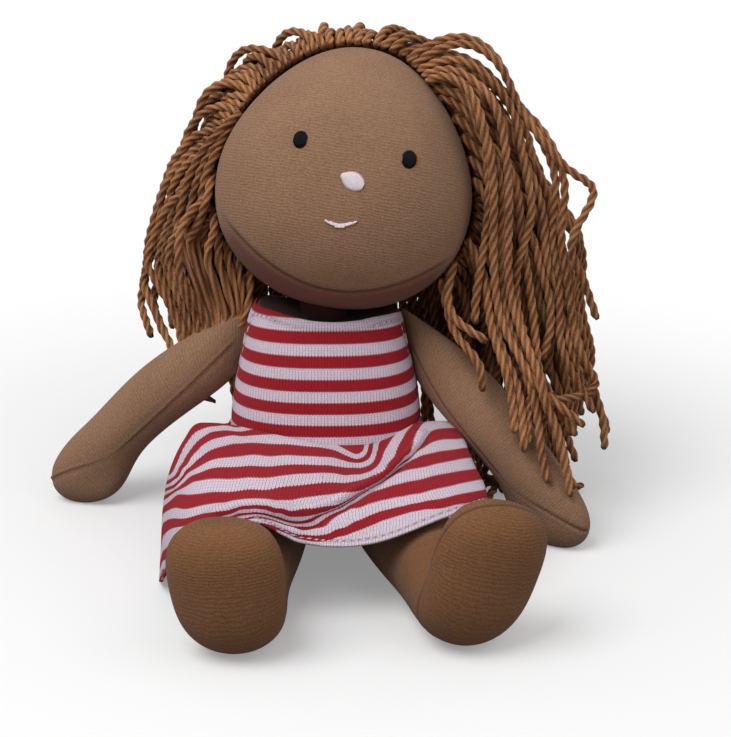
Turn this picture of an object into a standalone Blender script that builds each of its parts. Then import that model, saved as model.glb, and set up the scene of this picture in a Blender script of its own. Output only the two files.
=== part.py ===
"""Rag doll with yarn hair and a striped dress, seated with its hands and heels on the ground.

Blender 4.5, metres, +Z up. The doll faces -Y and its left side is at +X. The origin is the
middle of the flat that its stuffed body sits on. Run with: blender --background --python part.py
"""
import bpy
import bmesh
from math import cos, pi, radians, sin
from mathutils import Matrix, Vector
from mathutils.bvhtree import BVHTree

# Clearances
GAP = 0.0003                      # between two pieces that touch on the real doll
SEAM_NOSE_SHARE = 0.6             # a limb's sewn end is rounded, so that it turns in its seat
FLOOR_CUT = 0.0005                # how deep the ground flattens what rests on it
OVERRUN = 0.004                   # how far a cutter runs past what it cuts
WELD = 0.00003                    # points nearer than this are one point

# Body bag
TORSO_HEIGHT = 0.0860
TORSO_WIDTH = 0.067
TORSO_DEPTH = 0.053
TORSO_LEAN = 0.007                # how far the shoulders lie behind the hips
TORSO_SQUARENESS = 2.7
TORSO_HEIGHT_SHARES = (0.0, 0.02, 0.12, 0.31, 0.54, 0.75, 0.90, 0.98, 1.0)
TORSO_WIDTH_SHARES = (0.66, 0.86, 0.99, 1.0, 0.97, 0.94, 0.90, 0.80, 0.64)
TORSO_DEPTH_SHARES = (0.50, 0.68, 0.94, 1.0, 0.94, 0.84, 0.70, 0.54, 0.36)
TORSO_LEAN_SHARES = (0.55, 0.45, 0.10, 0.0, 0.25, 0.55, 0.85, 1.0, 1.0)

# Neck bulb
NECK_RADIUS = 0.0095
NECK_SIDE = -0.0005               # how far the neck sits to the doll's left
NECK_SINK = 0.003                 # depth of the bulb's seat in the shoulders
SCOOP_DEPTH = 0.0085              # the head presses a hollow into the top of the body bag
SCOOP_WIDTH = 0.070
SCOOP_LENGTH = 0.086
SCOOP_SIDE = 0.0035               # towards the shoulder that the head leans over
SCOOP_FORWARD = 0.001
SCOOP_HALF_HEIGHT = 0.017

# Head
HEAD_WIDTH = 0.0955
HEAD_HEIGHT = 0.0975
HEAD_DEPTH = 0.076
HEAD_RISE = 0.0467                # from the neck's centre up to the head's middle
HEAD_FORWARD = 0.008              # and forward to it
HEAD_ROLL = radians(10.5)         # leans to the doll's left
HEAD_TIP = radians(-16.0)         # face turned up
HEAD_SQUARENESS = 2.15
HEAD_HEIGHT_SHARES = (0.0, 0.015, 0.09, 0.22, 0.38, 0.55, 0.72, 0.86, 0.965, 1.0)
HEAD_WIDTH_SHARES = (0.0, 0.34, 0.68, 0.93, 1.03, 1.01, 0.84, 0.61, 0.32, 0.0)
HEAD_DEPTH_SHARES = (0.0, 0.34, 0.72, 0.95, 1.03, 1.03, 0.93, 0.72, 0.38, 0.0)

# Embroidered features, from the middle of the face
EYE_WIDTH = 0.0052
EYE_HEIGHT = 0.0064
EYE_SIDE = 0.0192
EYE_UP = 0.0085
NOSE_WIDTH = 0.0092
NOSE_HEIGHT = 0.0070
NOSE_SIDE = 0.0008
NOSE_UP = -0.0025
MOUTH_WIDTH = 0.0115
MOUTH_SAG = 0.0026
MOUTH_UP = -0.0180
MOUTH_THREAD = 0.0006
STITCH_RISE = 0.0009              # the middle of a feature above its edge
PAD_RING_SHARES = (1.0, 0.62, 0.0)
PAD_EDGE_SHARE = 1 / 3            # of the rise, kept at the edge

# Arms
ARM_LENGTH = 0.102
ARM_DIAMETER = 0.0255
ARM_SEAM_WIDTH = 0.024            # the flat sewn end at the shoulder
ARM_SEAM_THICKNESS = 0.0022
SHOULDER_DROP = 0.0165            # from the top of the body bag to the middle of the arm's seam
SHOULDER_BACK = 0.001
SHOULDER_SLOPE = radians(6)       # the seam leans in at its top, as the body bag does
RIGHT_ARM_YAW = radians(-5.0)     # hand a little behind the shoulder
LEFT_ARM_YAW = radians(-35.0)     # hand in front of the shoulder
ARM_STEP_SHARES = (0.0, 0.05, 0.13, 0.26, 0.42, 0.58, 0.70, 0.80, 0.90, 0.97, 1.0)
ARM_UPRIGHT_SHARES = (1.0, 1.00, 1.02, 1.02, 1.0, 0.93, 0.96, 1.06, 0.92, 0.60, 0.0)
ARM_THICK_SHARES = (1.0, 0.30, 0.60, 0.90, 0.98, 0.92, 0.88, 0.80, 0.72, 0.46, 0.0)
ARM_BOW_SHARES = (0.0, 0.01, 0.05, 0.12, 0.16, 0.12, 0.05, -0.01, -0.03, -0.03, -0.02)
ARM_SQUARE_TO_SHARE = 0.34        # past this share of its length the arm's sections are square to it

# Legs
LEG_REACH = 0.104                 # from the hip seam to the sole
THIGH_DIAMETER = 0.033
LEG_SEAM_WIDTH = 0.018
LEG_SEAM_THICKNESS = 0.0022
HIP_SIDE = 0.017
HIP_UP = 0.0095
HIP_TURN = radians(18)            # the seam follows the body bag's curve
RIGHT_LEG_SPLAY = radians(-7.0)
LEFT_LEG_SPLAY = radians(21.0)
RIGHT_FOOT_ROLL = radians(-4)
LEFT_FOOT_ROLL = radians(16)      # toes lean out
FOOT_HEIGHT = 0.0520
FOOT_WIDTH = 0.0395
FOOT_DEPTH = 0.0265
INSTEP_UP = 0.030                 # height of the ankle's inner corner
HEEL_WALL = 0.0025                # how near the rings come to that corner
LEG_STEP_SHARES = (0.0, 0.055, 0.15, 0.30, 0.46, 0.60)
LEG_WIDTH_SHARES = (1.0, 0.66, 0.90, 1.0, 0.97, 0.90)
LEG_HEIGHT_SHARES = (1.0, 0.36, 0.76, 0.98, 0.96, 0.92)
LEG_RISE_SHARES = (0.0, 0.05, 0.18, 0.25, 0.23, 0.21)
HEEL_TURN_SHARES = (0.18, 0.42, 0.68, 1.0)
HEEL_REACH_SHARES = (1.02, 1.10, 1.06, 0.98)
HEEL_WIDTH_SHARES = (0.86, 0.92, 0.98, 1.02)
TOE_UP_SHARES = (0.40, 0.72, 0.93, 1.0)
TOE_WIDTH_SHARES = (1.02, 0.90, 0.55, 0.0)
TOE_DEPTH_SHARES = (1.0, 0.88, 0.56, 0.0)

# Hair
CAP_THICKNESS = 0.0045
CAP_EDGE_BACK = 0.004             # hairline behind the widest line of the face
CAP_NAPE_UP = -0.026              # lower edge of the cap, from the head's middle
LOCK_RADIUS = 0.0056
LOCK_SEAT = 0.0009                # so that a lock's flat facets stay off the cap
LOCK_LEAN_POWER = 0.75            # below 1, a lock leans out early and hangs straighter
LOCK_STEPS = 6                    # route points along the head, and again along the fall
LOCK_ROUND_SHARES = (0.66, 0.86, 0.96, 1.0, 1.04, 1.08, 1.14, 1.18, 1.16, 1.06, 0.86, 0.40)
RIGHT_LOCK_COUNT = 5
RIGHT_LOCK_FROM = radians(172)    # bearings round the head, from +X towards +Y
RIGHT_LOCK_TO = radians(121)
RIGHT_LOCK_OUT = 0.010            # how far the ends stand out from the head
RIGHT_LOCK_END = 0.079            # height of the front lock's end
RIGHT_LOCK_BACK_END = 0.055       # height of the rear lock's end, behind the arm
LEFT_LOCK_COUNT = 9               # the first falls over the arm, and the others beside and behind it
LEFT_LOCK_STAND = 0.009           # they stand this far off the side of the head
LEFT_LOCK_FROM = radians(-8)
LEFT_LOCK_TO = radians(49)
LEFT_END_OUT_SHARES = (0.48, 0.64, 0.66, 0.60, 0.52, 0.44, 0.36, 0.28, 0.21)     # of the arm, from the shoulder
LEFT_END_FORWARD_SHARES = (0.50, 0.17, 0.06, -0.03, -0.10, -0.17, -0.23, -0.29, -0.35)
LEFT_END_UP_SHARES = (0.50, 0.30, 0.38, 0.34, 0.28, 0.26, 0.30, 0.36, 0.44)      # of the shoulder's height
BACK_LOCK_COUNT = 5
BACK_LOCK_FROM = radians(67)
BACK_LOCK_TO = radians(103)
BACK_SLOPE = radians(50)          # they start below the crown, between the side locks
BACK_LOCKS_END = 0.036
CROWN_SLOPE = radians(24)         # where the locks start, from straight up
SIDE_SLOPE = radians(98)          # where they leave the head

# Dress
CLOTH = 0.0012
WAIST_UP = 0.041
NECKLINE_MARGIN = 0.0008          # the neckline is cut this far outside the hollow
ARMHOLE_SLACK = 0.0012            # round the arm's sewn end
ARMHOLE_DEPTH = 0.021
ARMHOLE_BITE = 0.005              # how far in from the arm's seam it cuts
ARMHOLE_SQUARENESS = 3.5
SIDE_SEAM_GAP = 0.0003
SKIRT_SEAM_SHARE = 0.004          # of its width, left off each side of the skirt's panels
SKIRT_REACH = 0.064               # waist to hem, measured along the ground
SKIRT_HALF_WIDTH = 0.0580         # at the hem
SKIRT_RIGHT_BACK = 0.034          # how far the hem's corners lie behind its middle
SKIRT_LEFT_BACK = 0.050
SKIRT_TOP = 0.0392                # height of the hem over the legs
SKIRT_DIP = 0.010                 # how far it sinks between the legs
SKIRT_CLEAR = 0.0016              # lowest edge of the cloth above the ground
SKIRT_LEFT_LIFT = 0.012           # the hem's left corner stands off the ground
SKIRT_SPREAD_POWER = 0.42         # below 1, the cloth spreads at once below the waist
SKIRT_FALL_POWER = 1.5            # above 1, it falls late
SKIRT_FOLD = 0.0026
SKIRT_FOLDS = 5
SKIRT_SQUARENESS = 3.6
SKIRT_SIDE_SHARE = 0.2            # of the panel's width, lying beside the hips
SKIRT_BACK_FLARE = 0.017
SKIRT_ACROSS = 26
SKIRT_DOWN = 9

# Counts of facets round each form
TORSO_SIDES = 12
HEAD_SIDES = 14
LIMB_SIDES = 10
LOCK_SIDES = 7
THREAD_SIDES = 6
STITCH_SIDES = 12
SMOOTHING = 1
MOUTH_POINTS = 9
NECK_SIDES = 20
TOOL_SIDES = 24

# The search for the pitch that rests a limb on the ground
HALVINGS = 24
PITCH_LEAST = radians(0)
PITCH_MOST = radians(80)

SKIN_BROWN = (0.27, 0.16, 0.10, 1.0)
YARN_BROWN = (0.24, 0.11, 0.055, 1.0)
JERSEY_RED = (0.55, 0.03, 0.04, 1.0)
EYE_BLACK = (0.012, 0.011, 0.012, 1.0)
STITCH_PINK = (0.86, 0.66, 0.66, 1.0)
FABRIC_ROUGHNESS = 0.9


def clear_scene():
    for item in list(bpy.data.objects):
        bpy.data.objects.remove(item, do_unlink=True)


clear_scene()
doll = bpy.data.collections.new("rag_doll")
tools = bpy.data.collections.new("cutters")
bpy.context.scene.collection.children.link(doll)
bpy.context.scene.collection.children.link(tools)


def fabric(name, colour):
    cloth = bpy.data.materials.new(name)
    cloth.use_nodes = True
    shader = cloth.node_tree.nodes["Principled BSDF"]
    shader.inputs["Base Color"].default_value = colour
    shader.inputs["Roughness"].default_value = FABRIC_ROUGHNESS
    shader.inputs["Metallic"].default_value = 0
    return cloth


skin = fabric("skin_knit", SKIN_BROWN)
yarn = fabric("hair_yarn", YARN_BROWN)
jersey = fabric("dress_jersey", JERSEY_RED)
black_thread = fabric("black_thread", EYE_BLACK)
pink_thread = fabric("pink_thread", STITCH_PINK)


def place(name, mesh, material, matrix=None, parent=None):
    """Put a mesh in the doll's collection, with its origin where the matrix says."""
    piece = bpy.data.objects.new(name, mesh)
    doll.objects.link(piece)
    mesh.materials.append(material)
    mesh.shade_smooth()
    if matrix is not None:
        piece.matrix_world = matrix
    bpy.context.view_layer.update()
    if parent is not None:
        world = piece.matrix_world.copy()
        piece.parent = parent
        piece.matrix_parent_inverse = parent.matrix_world.inverted()
        piece.matrix_world = world
        bpy.context.view_layer.update()
    return piece


def as_tool(piece):
    """Turn a piece into a cutter, which isn't part of the doll."""
    for home in list(piece.users_collection):
        home.objects.unlink(piece)
    tools.objects.link(piece)
    piece.hide_render = True
    piece.display_type = "WIRE"
    return piece


def smooth(piece):
    surface = piece.modifiers.new("smooth", "SUBSURF")
    surface.levels = SMOOTHING
    surface.render_levels = SMOOTHING


def carve(piece, cutter, operation="DIFFERENCE"):
    boolean = piece.modifiers.new(operation.lower() + "_" + cutter.name, "BOOLEAN")
    boolean.operation = operation
    boolean.solver = "EXACT"
    boolean.object = cutter


def evaluated(piece):
    """The piece's finished mesh, in world space."""
    bpy.context.view_layer.update()
    graph = bpy.context.evaluated_depsgraph_get()
    mesh = bpy.data.meshes.new_from_object(piece.evaluated_get(graph))
    mesh.transform(piece.matrix_world)
    return mesh


def surface_of(piece):
    mesh = evaluated(piece)
    points = [vertex.co.copy() for vertex in mesh.vertices]
    faces = [tuple(face.vertices) for face in mesh.polygons]
    bpy.data.meshes.remove(mesh)
    return BVHTree.FromPolygons(points, faces)


def rounded(angle, squareness):
    """A point on a rounded square: 2 is a circle, more is squarer."""
    across = cos(angle)
    along = sin(angle)
    power = 2 / squareness
    x = abs(across) ** power * (1 if across >= 0 else -1)
    y = abs(along) ** power * (1 if along >= 0 else -1)
    return x, y


def ring(centre, across, along, half_across, half_along, sides, squareness=2.0):
    """Points round a stuffed tube, where two directions and two half sizes set its section."""
    points = []
    for step in range(sides):
        x, y = rounded(2 * pi * step / sides, squareness)
        points.append(centre + across * (half_across * x) + along * (half_along * y))
    return points


def loft(name, rings):
    """Skin a row of rings. A ring of one point closes an end to a tip, any other end is flat."""
    mesh = bpy.data.meshes.new(name)
    skin_mesh = bmesh.new()
    rows = [[skin_mesh.verts.new(point) for point in points] for points in rings]
    for lower, upper in zip(rows, rows[1:]):
        count = max(len(lower), len(upper))
        for step in range(count):
            after = (step + 1) % count
            if len(lower) == 1:
                skin_mesh.faces.new((lower[0], upper[after], upper[step]))
            elif len(upper) == 1:
                skin_mesh.faces.new((lower[step], lower[after], upper[0]))
            else:
                skin_mesh.faces.new((lower[step], lower[after], upper[after], upper[step]))
    if len(rows[0]) > 1:
        skin_mesh.faces.new(list(reversed(rows[0])))
    if len(rows[-1]) > 1:
        skin_mesh.faces.new(rows[-1])
    bmesh.ops.recalc_face_normals(skin_mesh, faces=skin_mesh.faces)
    skin_mesh.to_mesh(mesh)
    skin_mesh.free()
    return mesh


def tube(name, route, radii, sides):
    """A tapering tube along a route, with flat ends."""
    rings = []
    side = Vector((1, 0, 0))
    for step, (point, radius) in enumerate(zip(route, radii)):
        before = route[max(step - 1, 0)]
        after = route[min(step + 1, len(route) - 1)]
        ahead = (after - before).normalized()
        side = (side - ahead * side.dot(ahead)).normalized()
        rings.append(ring(point, side, ahead.cross(side), radius, radius, sides))
    return loft(name, rings)


def block(name, low, high):
    """A box cutter between two corners."""
    mesh = bpy.data.meshes.new(name)
    box = bmesh.new()
    bmesh.ops.create_cube(box, size=1)
    size = high - low
    middle = (high + low) / 2
    bmesh.ops.scale(box, vec=size, verts=box.verts)
    bmesh.ops.translate(box, vec=middle, verts=box.verts)
    box.to_mesh(mesh)
    box.free()
    return as_tool(place(name, mesh, skin))


def ball(name, centre, radii, tool=True, parent=None, sides=TOOL_SIDES):
    """A ball with a radius for each direction, its origin at its centre."""
    mesh = bpy.data.meshes.new(name)
    round_form = bmesh.new()
    bmesh.ops.create_uvsphere(round_form, u_segments=sides, v_segments=sides // 2, radius=1)
    bmesh.ops.scale(round_form, vec=radii, verts=round_form.verts)
    round_form.to_mesh(mesh)
    round_form.free()
    piece = place(name, mesh, skin, Matrix.Translation(centre), parent)
    return as_tool(piece) if tool else piece


def pitch_to_ground(points_for, turn_for, start):
    """The pitch at which a limb hung at its seam just presses into the ground, by halving."""
    low = PITCH_LEAST
    high = PITCH_MOST
    for _ in range(HALVINGS):
        middle = (low + high) / 2
        turn = turn_for(middle)
        lowest = min((turn @ point).z for point in points_for(middle)) + start.z
        if lowest > -FLOOR_CUT:
            low = middle
        else:
            high = middle
    return (low + high) / 2


def local_points(mesh):
    """The smoothed points of a limb in its own frame."""
    trial = bpy.data.objects.new("trial", mesh)
    tools.objects.link(trial)
    smooth(trial)
    bpy.context.view_layer.update()
    graph = bpy.context.evaluated_depsgraph_get()
    fine = bpy.data.meshes.new_from_object(trial.evaluated_get(graph))
    points = [vertex.co.copy() for vertex in fine.vertices]
    bpy.data.meshes.remove(fine)
    bpy.data.objects.remove(trial)
    return points


X = Vector((1, 0, 0))
Y = Vector((0, 1, 0))
Z = Vector((0, 0, 1))
BODY_SPAN = TORSO_WIDTH + 2 * ARM_LENGTH

# The ground flattens whatever rests on it
ground = block("ground",
               Vector((-BODY_SPAN, -BODY_SPAN, -OVERRUN)),
               Vector((BODY_SPAN, BODY_SPAN, 0)))


# Body bag: a pear that leans back, flat where it sits
def torso_rings(grow=0):
    rings = []
    for up, wide, deep, lean in zip(TORSO_HEIGHT_SHARES, TORSO_WIDTH_SHARES,
                                    TORSO_DEPTH_SHARES, TORSO_LEAN_SHARES):
        centre = Vector((0, TORSO_LEAN * lean, TORSO_HEIGHT * up - FLOOR_CUT * (1 - up)))
        rings.append(ring(centre, X, Y, TORSO_WIDTH / 2 * wide + grow, TORSO_DEPTH / 2 * deep + grow,
                          TORSO_SIDES, TORSO_SQUARENESS))
    return rings


torso = place("torso", loft("torso", torso_rings()), skin)
smooth(torso)
seat_shift = -FLOOR_CUT - min(vertex.co.z for vertex in evaluated(torso).vertices)
torso.data.transform(Matrix.Translation(Z * seat_shift))
torso_plain = evaluated(torso)
torso_skin = surface_of(torso)
torso_top = max(vertex.co.z for vertex in torso_plain.vertices)

# Neck: a stuffed bulb half sunk between the shoulders and the head
scoop_floor = torso_top - SCOOP_DEPTH
neck_centre = Vector((NECK_SIDE, TORSO_LEAN, scoop_floor + NECK_RADIUS - NECK_SINK))
scoop_middle = Vector((SCOOP_SIDE, TORSO_LEAN - SCOOP_FORWARD, scoop_floor + SCOOP_HALF_HEIGHT))
scoop_radii = Vector((SCOOP_WIDTH / 2, SCOOP_LENGTH / 2, SCOOP_HALF_HEIGHT))
scoop = ball("scoop", scoop_middle, scoop_radii)
carve(torso, scoop)
neck_seat = ball("neck_seat", neck_centre, Vector((1, 1, 1)) * (NECK_RADIUS + GAP))
carve(torso, neck_seat)
carve(torso, ground)
neck = ball("neck", neck_centre, Vector((1, 1, 1)) * NECK_RADIUS, tool=False, parent=torso,
            sides=NECK_SIDES)

# Head: an egg with its narrow end up, flatter in depth than in width
head_turn = Matrix.Rotation(HEAD_ROLL, 4, "Y") @ Matrix.Rotation(HEAD_TIP, 4, "X")
head_place = Matrix.Translation(neck_centre) @ head_turn
head_middle = Vector((0, -HEAD_FORWARD, HEAD_RISE))


def head_rings(grow=0):
    rings = []
    last = len(HEAD_HEIGHT_SHARES) - 1
    for row, (up, wide, deep) in enumerate(zip(HEAD_HEIGHT_SHARES, HEAD_WIDTH_SHARES, HEAD_DEPTH_SHARES)):
        centre = head_middle + Z * ((up - 1 / 2) * (HEAD_HEIGHT + 2 * grow))
        if row in (0, last):
            rings.append([centre])
        else:
            rings.append(ring(centre, X, Y, (HEAD_WIDTH / 2 + grow) * wide, (HEAD_DEPTH / 2 + grow) * deep,
                              HEAD_SIDES, HEAD_SQUARENESS))
    return rings


head = place("head", loft("head", head_rings()), skin, head_place, neck)
smooth(head)
head_plain = evaluated(head)
head_skin = surface_of(head)
head_pocket = ball("head_pocket", neck_centre, Vector((1, 1, 1)) * (NECK_RADIUS + GAP))
carve(head, head_pocket)
head_centre = head_place @ head_middle
face_out = (head_turn @ -Y).normalized()
face_side = (head_turn @ X).normalized()
face_up = (head_turn @ Z).normalized()


def on_face(side, up, lift):
    """A point above the face, and the way the face points there."""
    start = head_centre + face_side * side + face_up * up + face_out * HEAD_DEPTH
    hit, normal, _, _ = head_skin.ray_cast(start, -face_out)
    return hit + normal * lift, normal


def stitched_pad(name, side, up, width, height, material):
    """A satin-stitched oval: a low dome that follows the face."""
    upper = []
    lower = []
    for share in PAD_RING_SHARES:
        count = STITCH_SIDES if share else 1
        top_row = []
        low_row = []
        for step in range(count):
            angle = 2 * pi * step / STITCH_SIDES
            place_side = side + width / 2 * share * cos(angle)
            place_up = up + height / 2 * share * sin(angle)
            point, normal = on_face(place_side, place_up, GAP)
            low_row.append(point)
            rise = STITCH_RISE * (1 - share * share * (1 - PAD_EDGE_SHARE))
            top_row.append(point + normal * rise)
        upper.append(top_row)
        lower.append(low_row)
    mesh = loft(name, list(reversed(lower)) + upper)
    mesh.transform(Matrix.Translation(-neck_centre))
    return place(name, mesh, material, Matrix.Translation(neck_centre), head)


stitched_pad("left_eye", EYE_SIDE, EYE_UP, EYE_WIDTH, EYE_HEIGHT, black_thread)
stitched_pad("right_eye", -EYE_SIDE, EYE_UP, EYE_WIDTH, EYE_HEIGHT, black_thread)
stitched_pad("nose", NOSE_SIDE, NOSE_UP, NOSE_WIDTH, NOSE_HEIGHT, pink_thread)

mouth_route = []
for step in range(MOUTH_POINTS):
    share = 2 * step / (MOUTH_POINTS - 1) - 1
    dip = MOUTH_SAG * (share * share - 1)
    point, _ = on_face(NOSE_SIDE + MOUTH_WIDTH / 2 * share, MOUTH_UP + dip, GAP + MOUTH_THREAD)
    mouth_route.append(point - neck_centre)
place("mouth", tube("mouth", mouth_route, [MOUTH_THREAD] * MOUTH_POINTS, THREAD_SIDES),
      pink_thread, Matrix.Translation(neck_centre), head)


# Arms: a thin sewn end on the hinge line, a stuffed tube and a mitten hand
def arm_mesh(name, outward, pitch):
    """The arm in its seam's frame: Z runs up the seam, X out from the body."""
    ahead = Vector((outward * cos(pitch), 0, -sin(pitch)))
    square = Vector((outward * sin(pitch), 0, cos(pitch)))
    nose = X * (-outward * ARM_SEAM_THICKNESS / 2)
    rings = [ring(nose, Y, Z, ARM_SEAM_THICKNESS / 2 * SEAM_NOSE_SHARE, ARM_SEAM_WIDTH / 2, LIMB_SIDES)]
    for step, tall, thick, bow in zip(ARM_STEP_SHARES, ARM_UPRIGHT_SHARES, ARM_THICK_SHARES, ARM_BOW_SHARES):
        turned = min(step / ARM_SQUARE_TO_SHARE, 1)
        upright = (Z.lerp(square, turned)).normalized()
        centre = ahead * (ARM_LENGTH * step) + square * (ARM_DIAMETER * bow)
        if step == ARM_STEP_SHARES[0]:
            half_tall = ARM_SEAM_WIDTH / 2
            half_thick = ARM_SEAM_THICKNESS / 2
        else:
            half_tall = ARM_DIAMETER / 2 * tall
            half_thick = ARM_DIAMETER / 2 * thick
        if tall:
            rings.append(ring(centre, Y, upright, half_thick, half_tall, LIMB_SIDES))
        else:
            rings.append([centre])
    return loft(name, rings)


def make_arm(name, outward, yaw):
    shoulder_height = torso_top - SHOULDER_DROP
    start = Vector((outward * TORSO_WIDTH, TORSO_LEAN + SHOULDER_BACK, shoulder_height))
    hit, normal, _, _ = torso_skin.ray_cast(start, -X * outward)
    shoulder = hit + normal * (ARM_SEAM_THICKNESS / 2 + GAP)
    lean = Matrix.Rotation(-outward * SHOULDER_SLOPE, 4, "Y")
    turn = lean @ Matrix.Rotation(yaw, 4, "Z")

    def points_for(trial_pitch):
        return local_points(arm_mesh("trial", outward, trial_pitch))

    pitch = pitch_to_ground(points_for, lambda trial_pitch: turn, shoulder)
    arm = place(name, arm_mesh(name, outward, pitch), skin, Matrix.Translation(shoulder) @ turn, torso)
    smooth(arm)
    carve(arm, ground)
    return arm, shoulder, turn @ Z


left_arm, left_shoulder, left_arm_axis = make_arm("left_arm", 1, LEFT_ARM_YAW)
right_arm, right_shoulder, right_arm_axis = make_arm("right_arm", -1, RIGHT_ARM_YAW)


# Legs: a thin sewn end, a thigh, a shin and a foot turned up at the heel
def leg_mesh(name, bend, roll):
    """The leg in its seam's frame: X runs along the seam, -Y away from the body."""
    nose = Y * (LEG_SEAM_THICKNESS / 2)
    rings = [ring(nose, X, Z, LEG_SEAM_WIDTH / 2, LEG_SEAM_THICKNESS / 2 * SEAM_NOSE_SHARE, LIMB_SIDES)]
    ankle = LEG_REACH - FOOT_DEPTH
    radius = THIGH_DIAMETER / 2
    for step, wide, tall, rise in zip(LEG_STEP_SHARES, LEG_WIDTH_SHARES, LEG_HEIGHT_SHARES, LEG_RISE_SHARES):
        centre = Vector((0, -LEG_REACH * step, THIGH_DIAMETER * rise))
        if step == LEG_STEP_SHARES[0]:
            rings.append(ring(centre, X, Z, LEG_SEAM_WIDTH / 2, LEG_SEAM_THICKNESS / 2, LIMB_SIDES))
        else:
            rings.append(ring(centre, X, Z, radius * wide, radius * tall, LIMB_SIDES))
    corner = Vector((0, -ankle, INSTEP_UP - HIP_UP))
    for turn, reach, wide in zip(HEEL_TURN_SHARES, HEEL_REACH_SHARES, HEEL_WIDTH_SHARES):
        angle = turn * pi / 2
        outward = Vector((0, -sin(angle), -cos(angle)))
        far = INSTEP_UP + (FOOT_DEPTH - INSTEP_UP) * turn
        far = far * reach
        centre = corner + outward * ((far + HEEL_WALL) / 2)
        rings.append(ring(centre, X, -outward, FOOT_WIDTH / 2 * wide, (far - HEEL_WALL) / 2, LIMB_SIDES))
    toe_height = FOOT_HEIGHT - INSTEP_UP
    middle = corner + Vector((0, -(FOOT_DEPTH + HEEL_WALL) / 2, 0))
    for up, wide, deep in zip(TOE_UP_SHARES, TOE_WIDTH_SHARES, TOE_DEPTH_SHARES):
        centre = middle + Z * (toe_height * up)
        if wide:
            rings.append(ring(centre, X, Y, FOOT_WIDTH / 2 * wide, (FOOT_DEPTH - HEEL_WALL) / 2 * deep,
                              LIMB_SIDES))
        else:
            rings.append([centre])
    heel = Vector((0, 0, FOOT_WIDTH / 2 - HIP_UP))
    knee = LEG_REACH * LEG_STEP_SHARES[-2]
    bent_by = LEG_REACH * LEG_STEP_SHARES[2]
    for points in rings:
        for spot, point in enumerate(points):
            rolled = min(max((-point.y - knee) / (ankle - knee), 0), 1)
            bent = min(max(-point.y / bent_by, 0), 1)
            upright = Matrix.Rotation(roll * rolled, 3, "Y") @ (point - heel) + heel
            points[spot] = Matrix.Rotation(bend * bent, 3, "Z") @ upright
    return loft(name, rings)


def make_leg(name, side, splay, roll):
    seam_turn = HIP_TURN * side
    mesh = leg_mesh(name, splay - seam_turn, roll)
    start = Vector((side * HIP_SIDE, -TORSO_DEPTH, HIP_UP))
    hit, normal, _, _ = torso_skin.ray_cast(start, Y)
    hip = hit + normal * (LEG_SEAM_THICKNESS / 2 + GAP)

    def turn_for(pitch):
        return Matrix.Rotation(seam_turn, 4, "Z") @ Matrix.Rotation(pitch, 4, "X")

    leg_points = local_points(mesh)
    pitch = pitch_to_ground(lambda trial_pitch: leg_points, turn_for, hip)
    leg = place(name, mesh, skin, Matrix.Translation(hip) @ turn_for(pitch), torso)
    smooth(leg)
    carve(leg, ground)
    axis = turn_for(pitch) @ X
    return leg, hip, axis


left_leg, left_hip, left_leg_axis = make_leg("left_leg", 1, LEFT_LEG_SPLAY, LEFT_FOOT_ROLL)
right_leg, right_hip, right_leg_axis = make_leg("right_leg", -1, RIGHT_LEG_SPLAY, RIGHT_FOOT_ROLL)


# Hair cap: rows of yarn sewn over the crown and the back of the head
def shell_of(source, name, planes, gap, thickness, matrix, parent, material):
    """A shell over part of a finished surface: cut at planes, lifted by the gap and given a wall."""
    shell = bmesh.new()
    shell.from_mesh(source)
    for point, outward in planes:
        bmesh.ops.bisect_plane(shell, geom=shell.verts[:] + shell.edges[:] + shell.faces[:],
                               plane_co=point, plane_no=outward, clear_outer=True, dist=WELD)
    bmesh.ops.remove_doubles(shell, verts=shell.verts, dist=WELD)
    shell.normal_update()
    lifted = [(vertex, vertex.co + vertex.normal * gap) for vertex in shell.verts]
    for vertex, spot in lifted:
        vertex.co = spot
    mesh = bpy.data.meshes.new(name)
    shell.to_mesh(mesh)
    shell.free()
    mesh.transform(matrix.inverted())
    piece = place(name, mesh, material, matrix, parent)
    wall = piece.modifiers.new("wall", "SOLIDIFY")
    wall.thickness = thickness
    wall.offset = 1
    return piece


hairline = (head_centre + (head_turn @ Y) * CAP_EDGE_BACK, (head_turn @ -Y).normalized())
nape = (head_centre + face_up * CAP_NAPE_UP, -face_up)
hair_cap = shell_of(head_plain, "hair_cap", (hairline, nape), GAP, CAP_THICKNESS,
                    Matrix.Translation(neck_centre), head, yarn)


# Locks: each leaves the crown, lies over the cap and then hangs
def over_cap(bearing, slope, lift):
    """A point above the cap, seen from the middle of the head."""
    ahead = Vector((cos(bearing) * sin(slope), sin(bearing) * sin(slope), cos(slope)))
    hit, normal, _, _ = head_skin.ray_cast(head_centre, ahead)
    return hit + ahead * (lift / ahead.dot(normal))


def lock_route(bearing, end, stand=0, start=CROWN_SLOPE):
    """From the crown over the cap, then down to the end, leaning out early."""
    route = []
    for step in range(LOCK_STEPS):
        slope = start + (SIDE_SLOPE - start) * step / (LOCK_STEPS - 1)
        lift = LOCK_SEAT + CAP_THICKNESS + LOCK_RADIUS * LOCK_ROUND_SHARES[step]
        route.append(over_cap(bearing, slope, lift + stand * step / (LOCK_STEPS - 1)))
    edge = route[-1]
    for step in range(LOCK_STEPS):
        share = (step + 1) / LOCK_STEPS
        spot = edge.lerp(end(edge), share ** LOCK_LEAN_POWER)
        spot.z = edge.z + (end(edge).z - edge.z) * share
        route.append(spot)
    hanging = route[LOCK_STEPS - 1:]
    eased = [(before + spot * 2 + after) / 4 for before, spot, after in zip(hanging, hanging[1:], hanging[2:])]
    return route[:LOCK_STEPS] + eased + [route[-1]]


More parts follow.
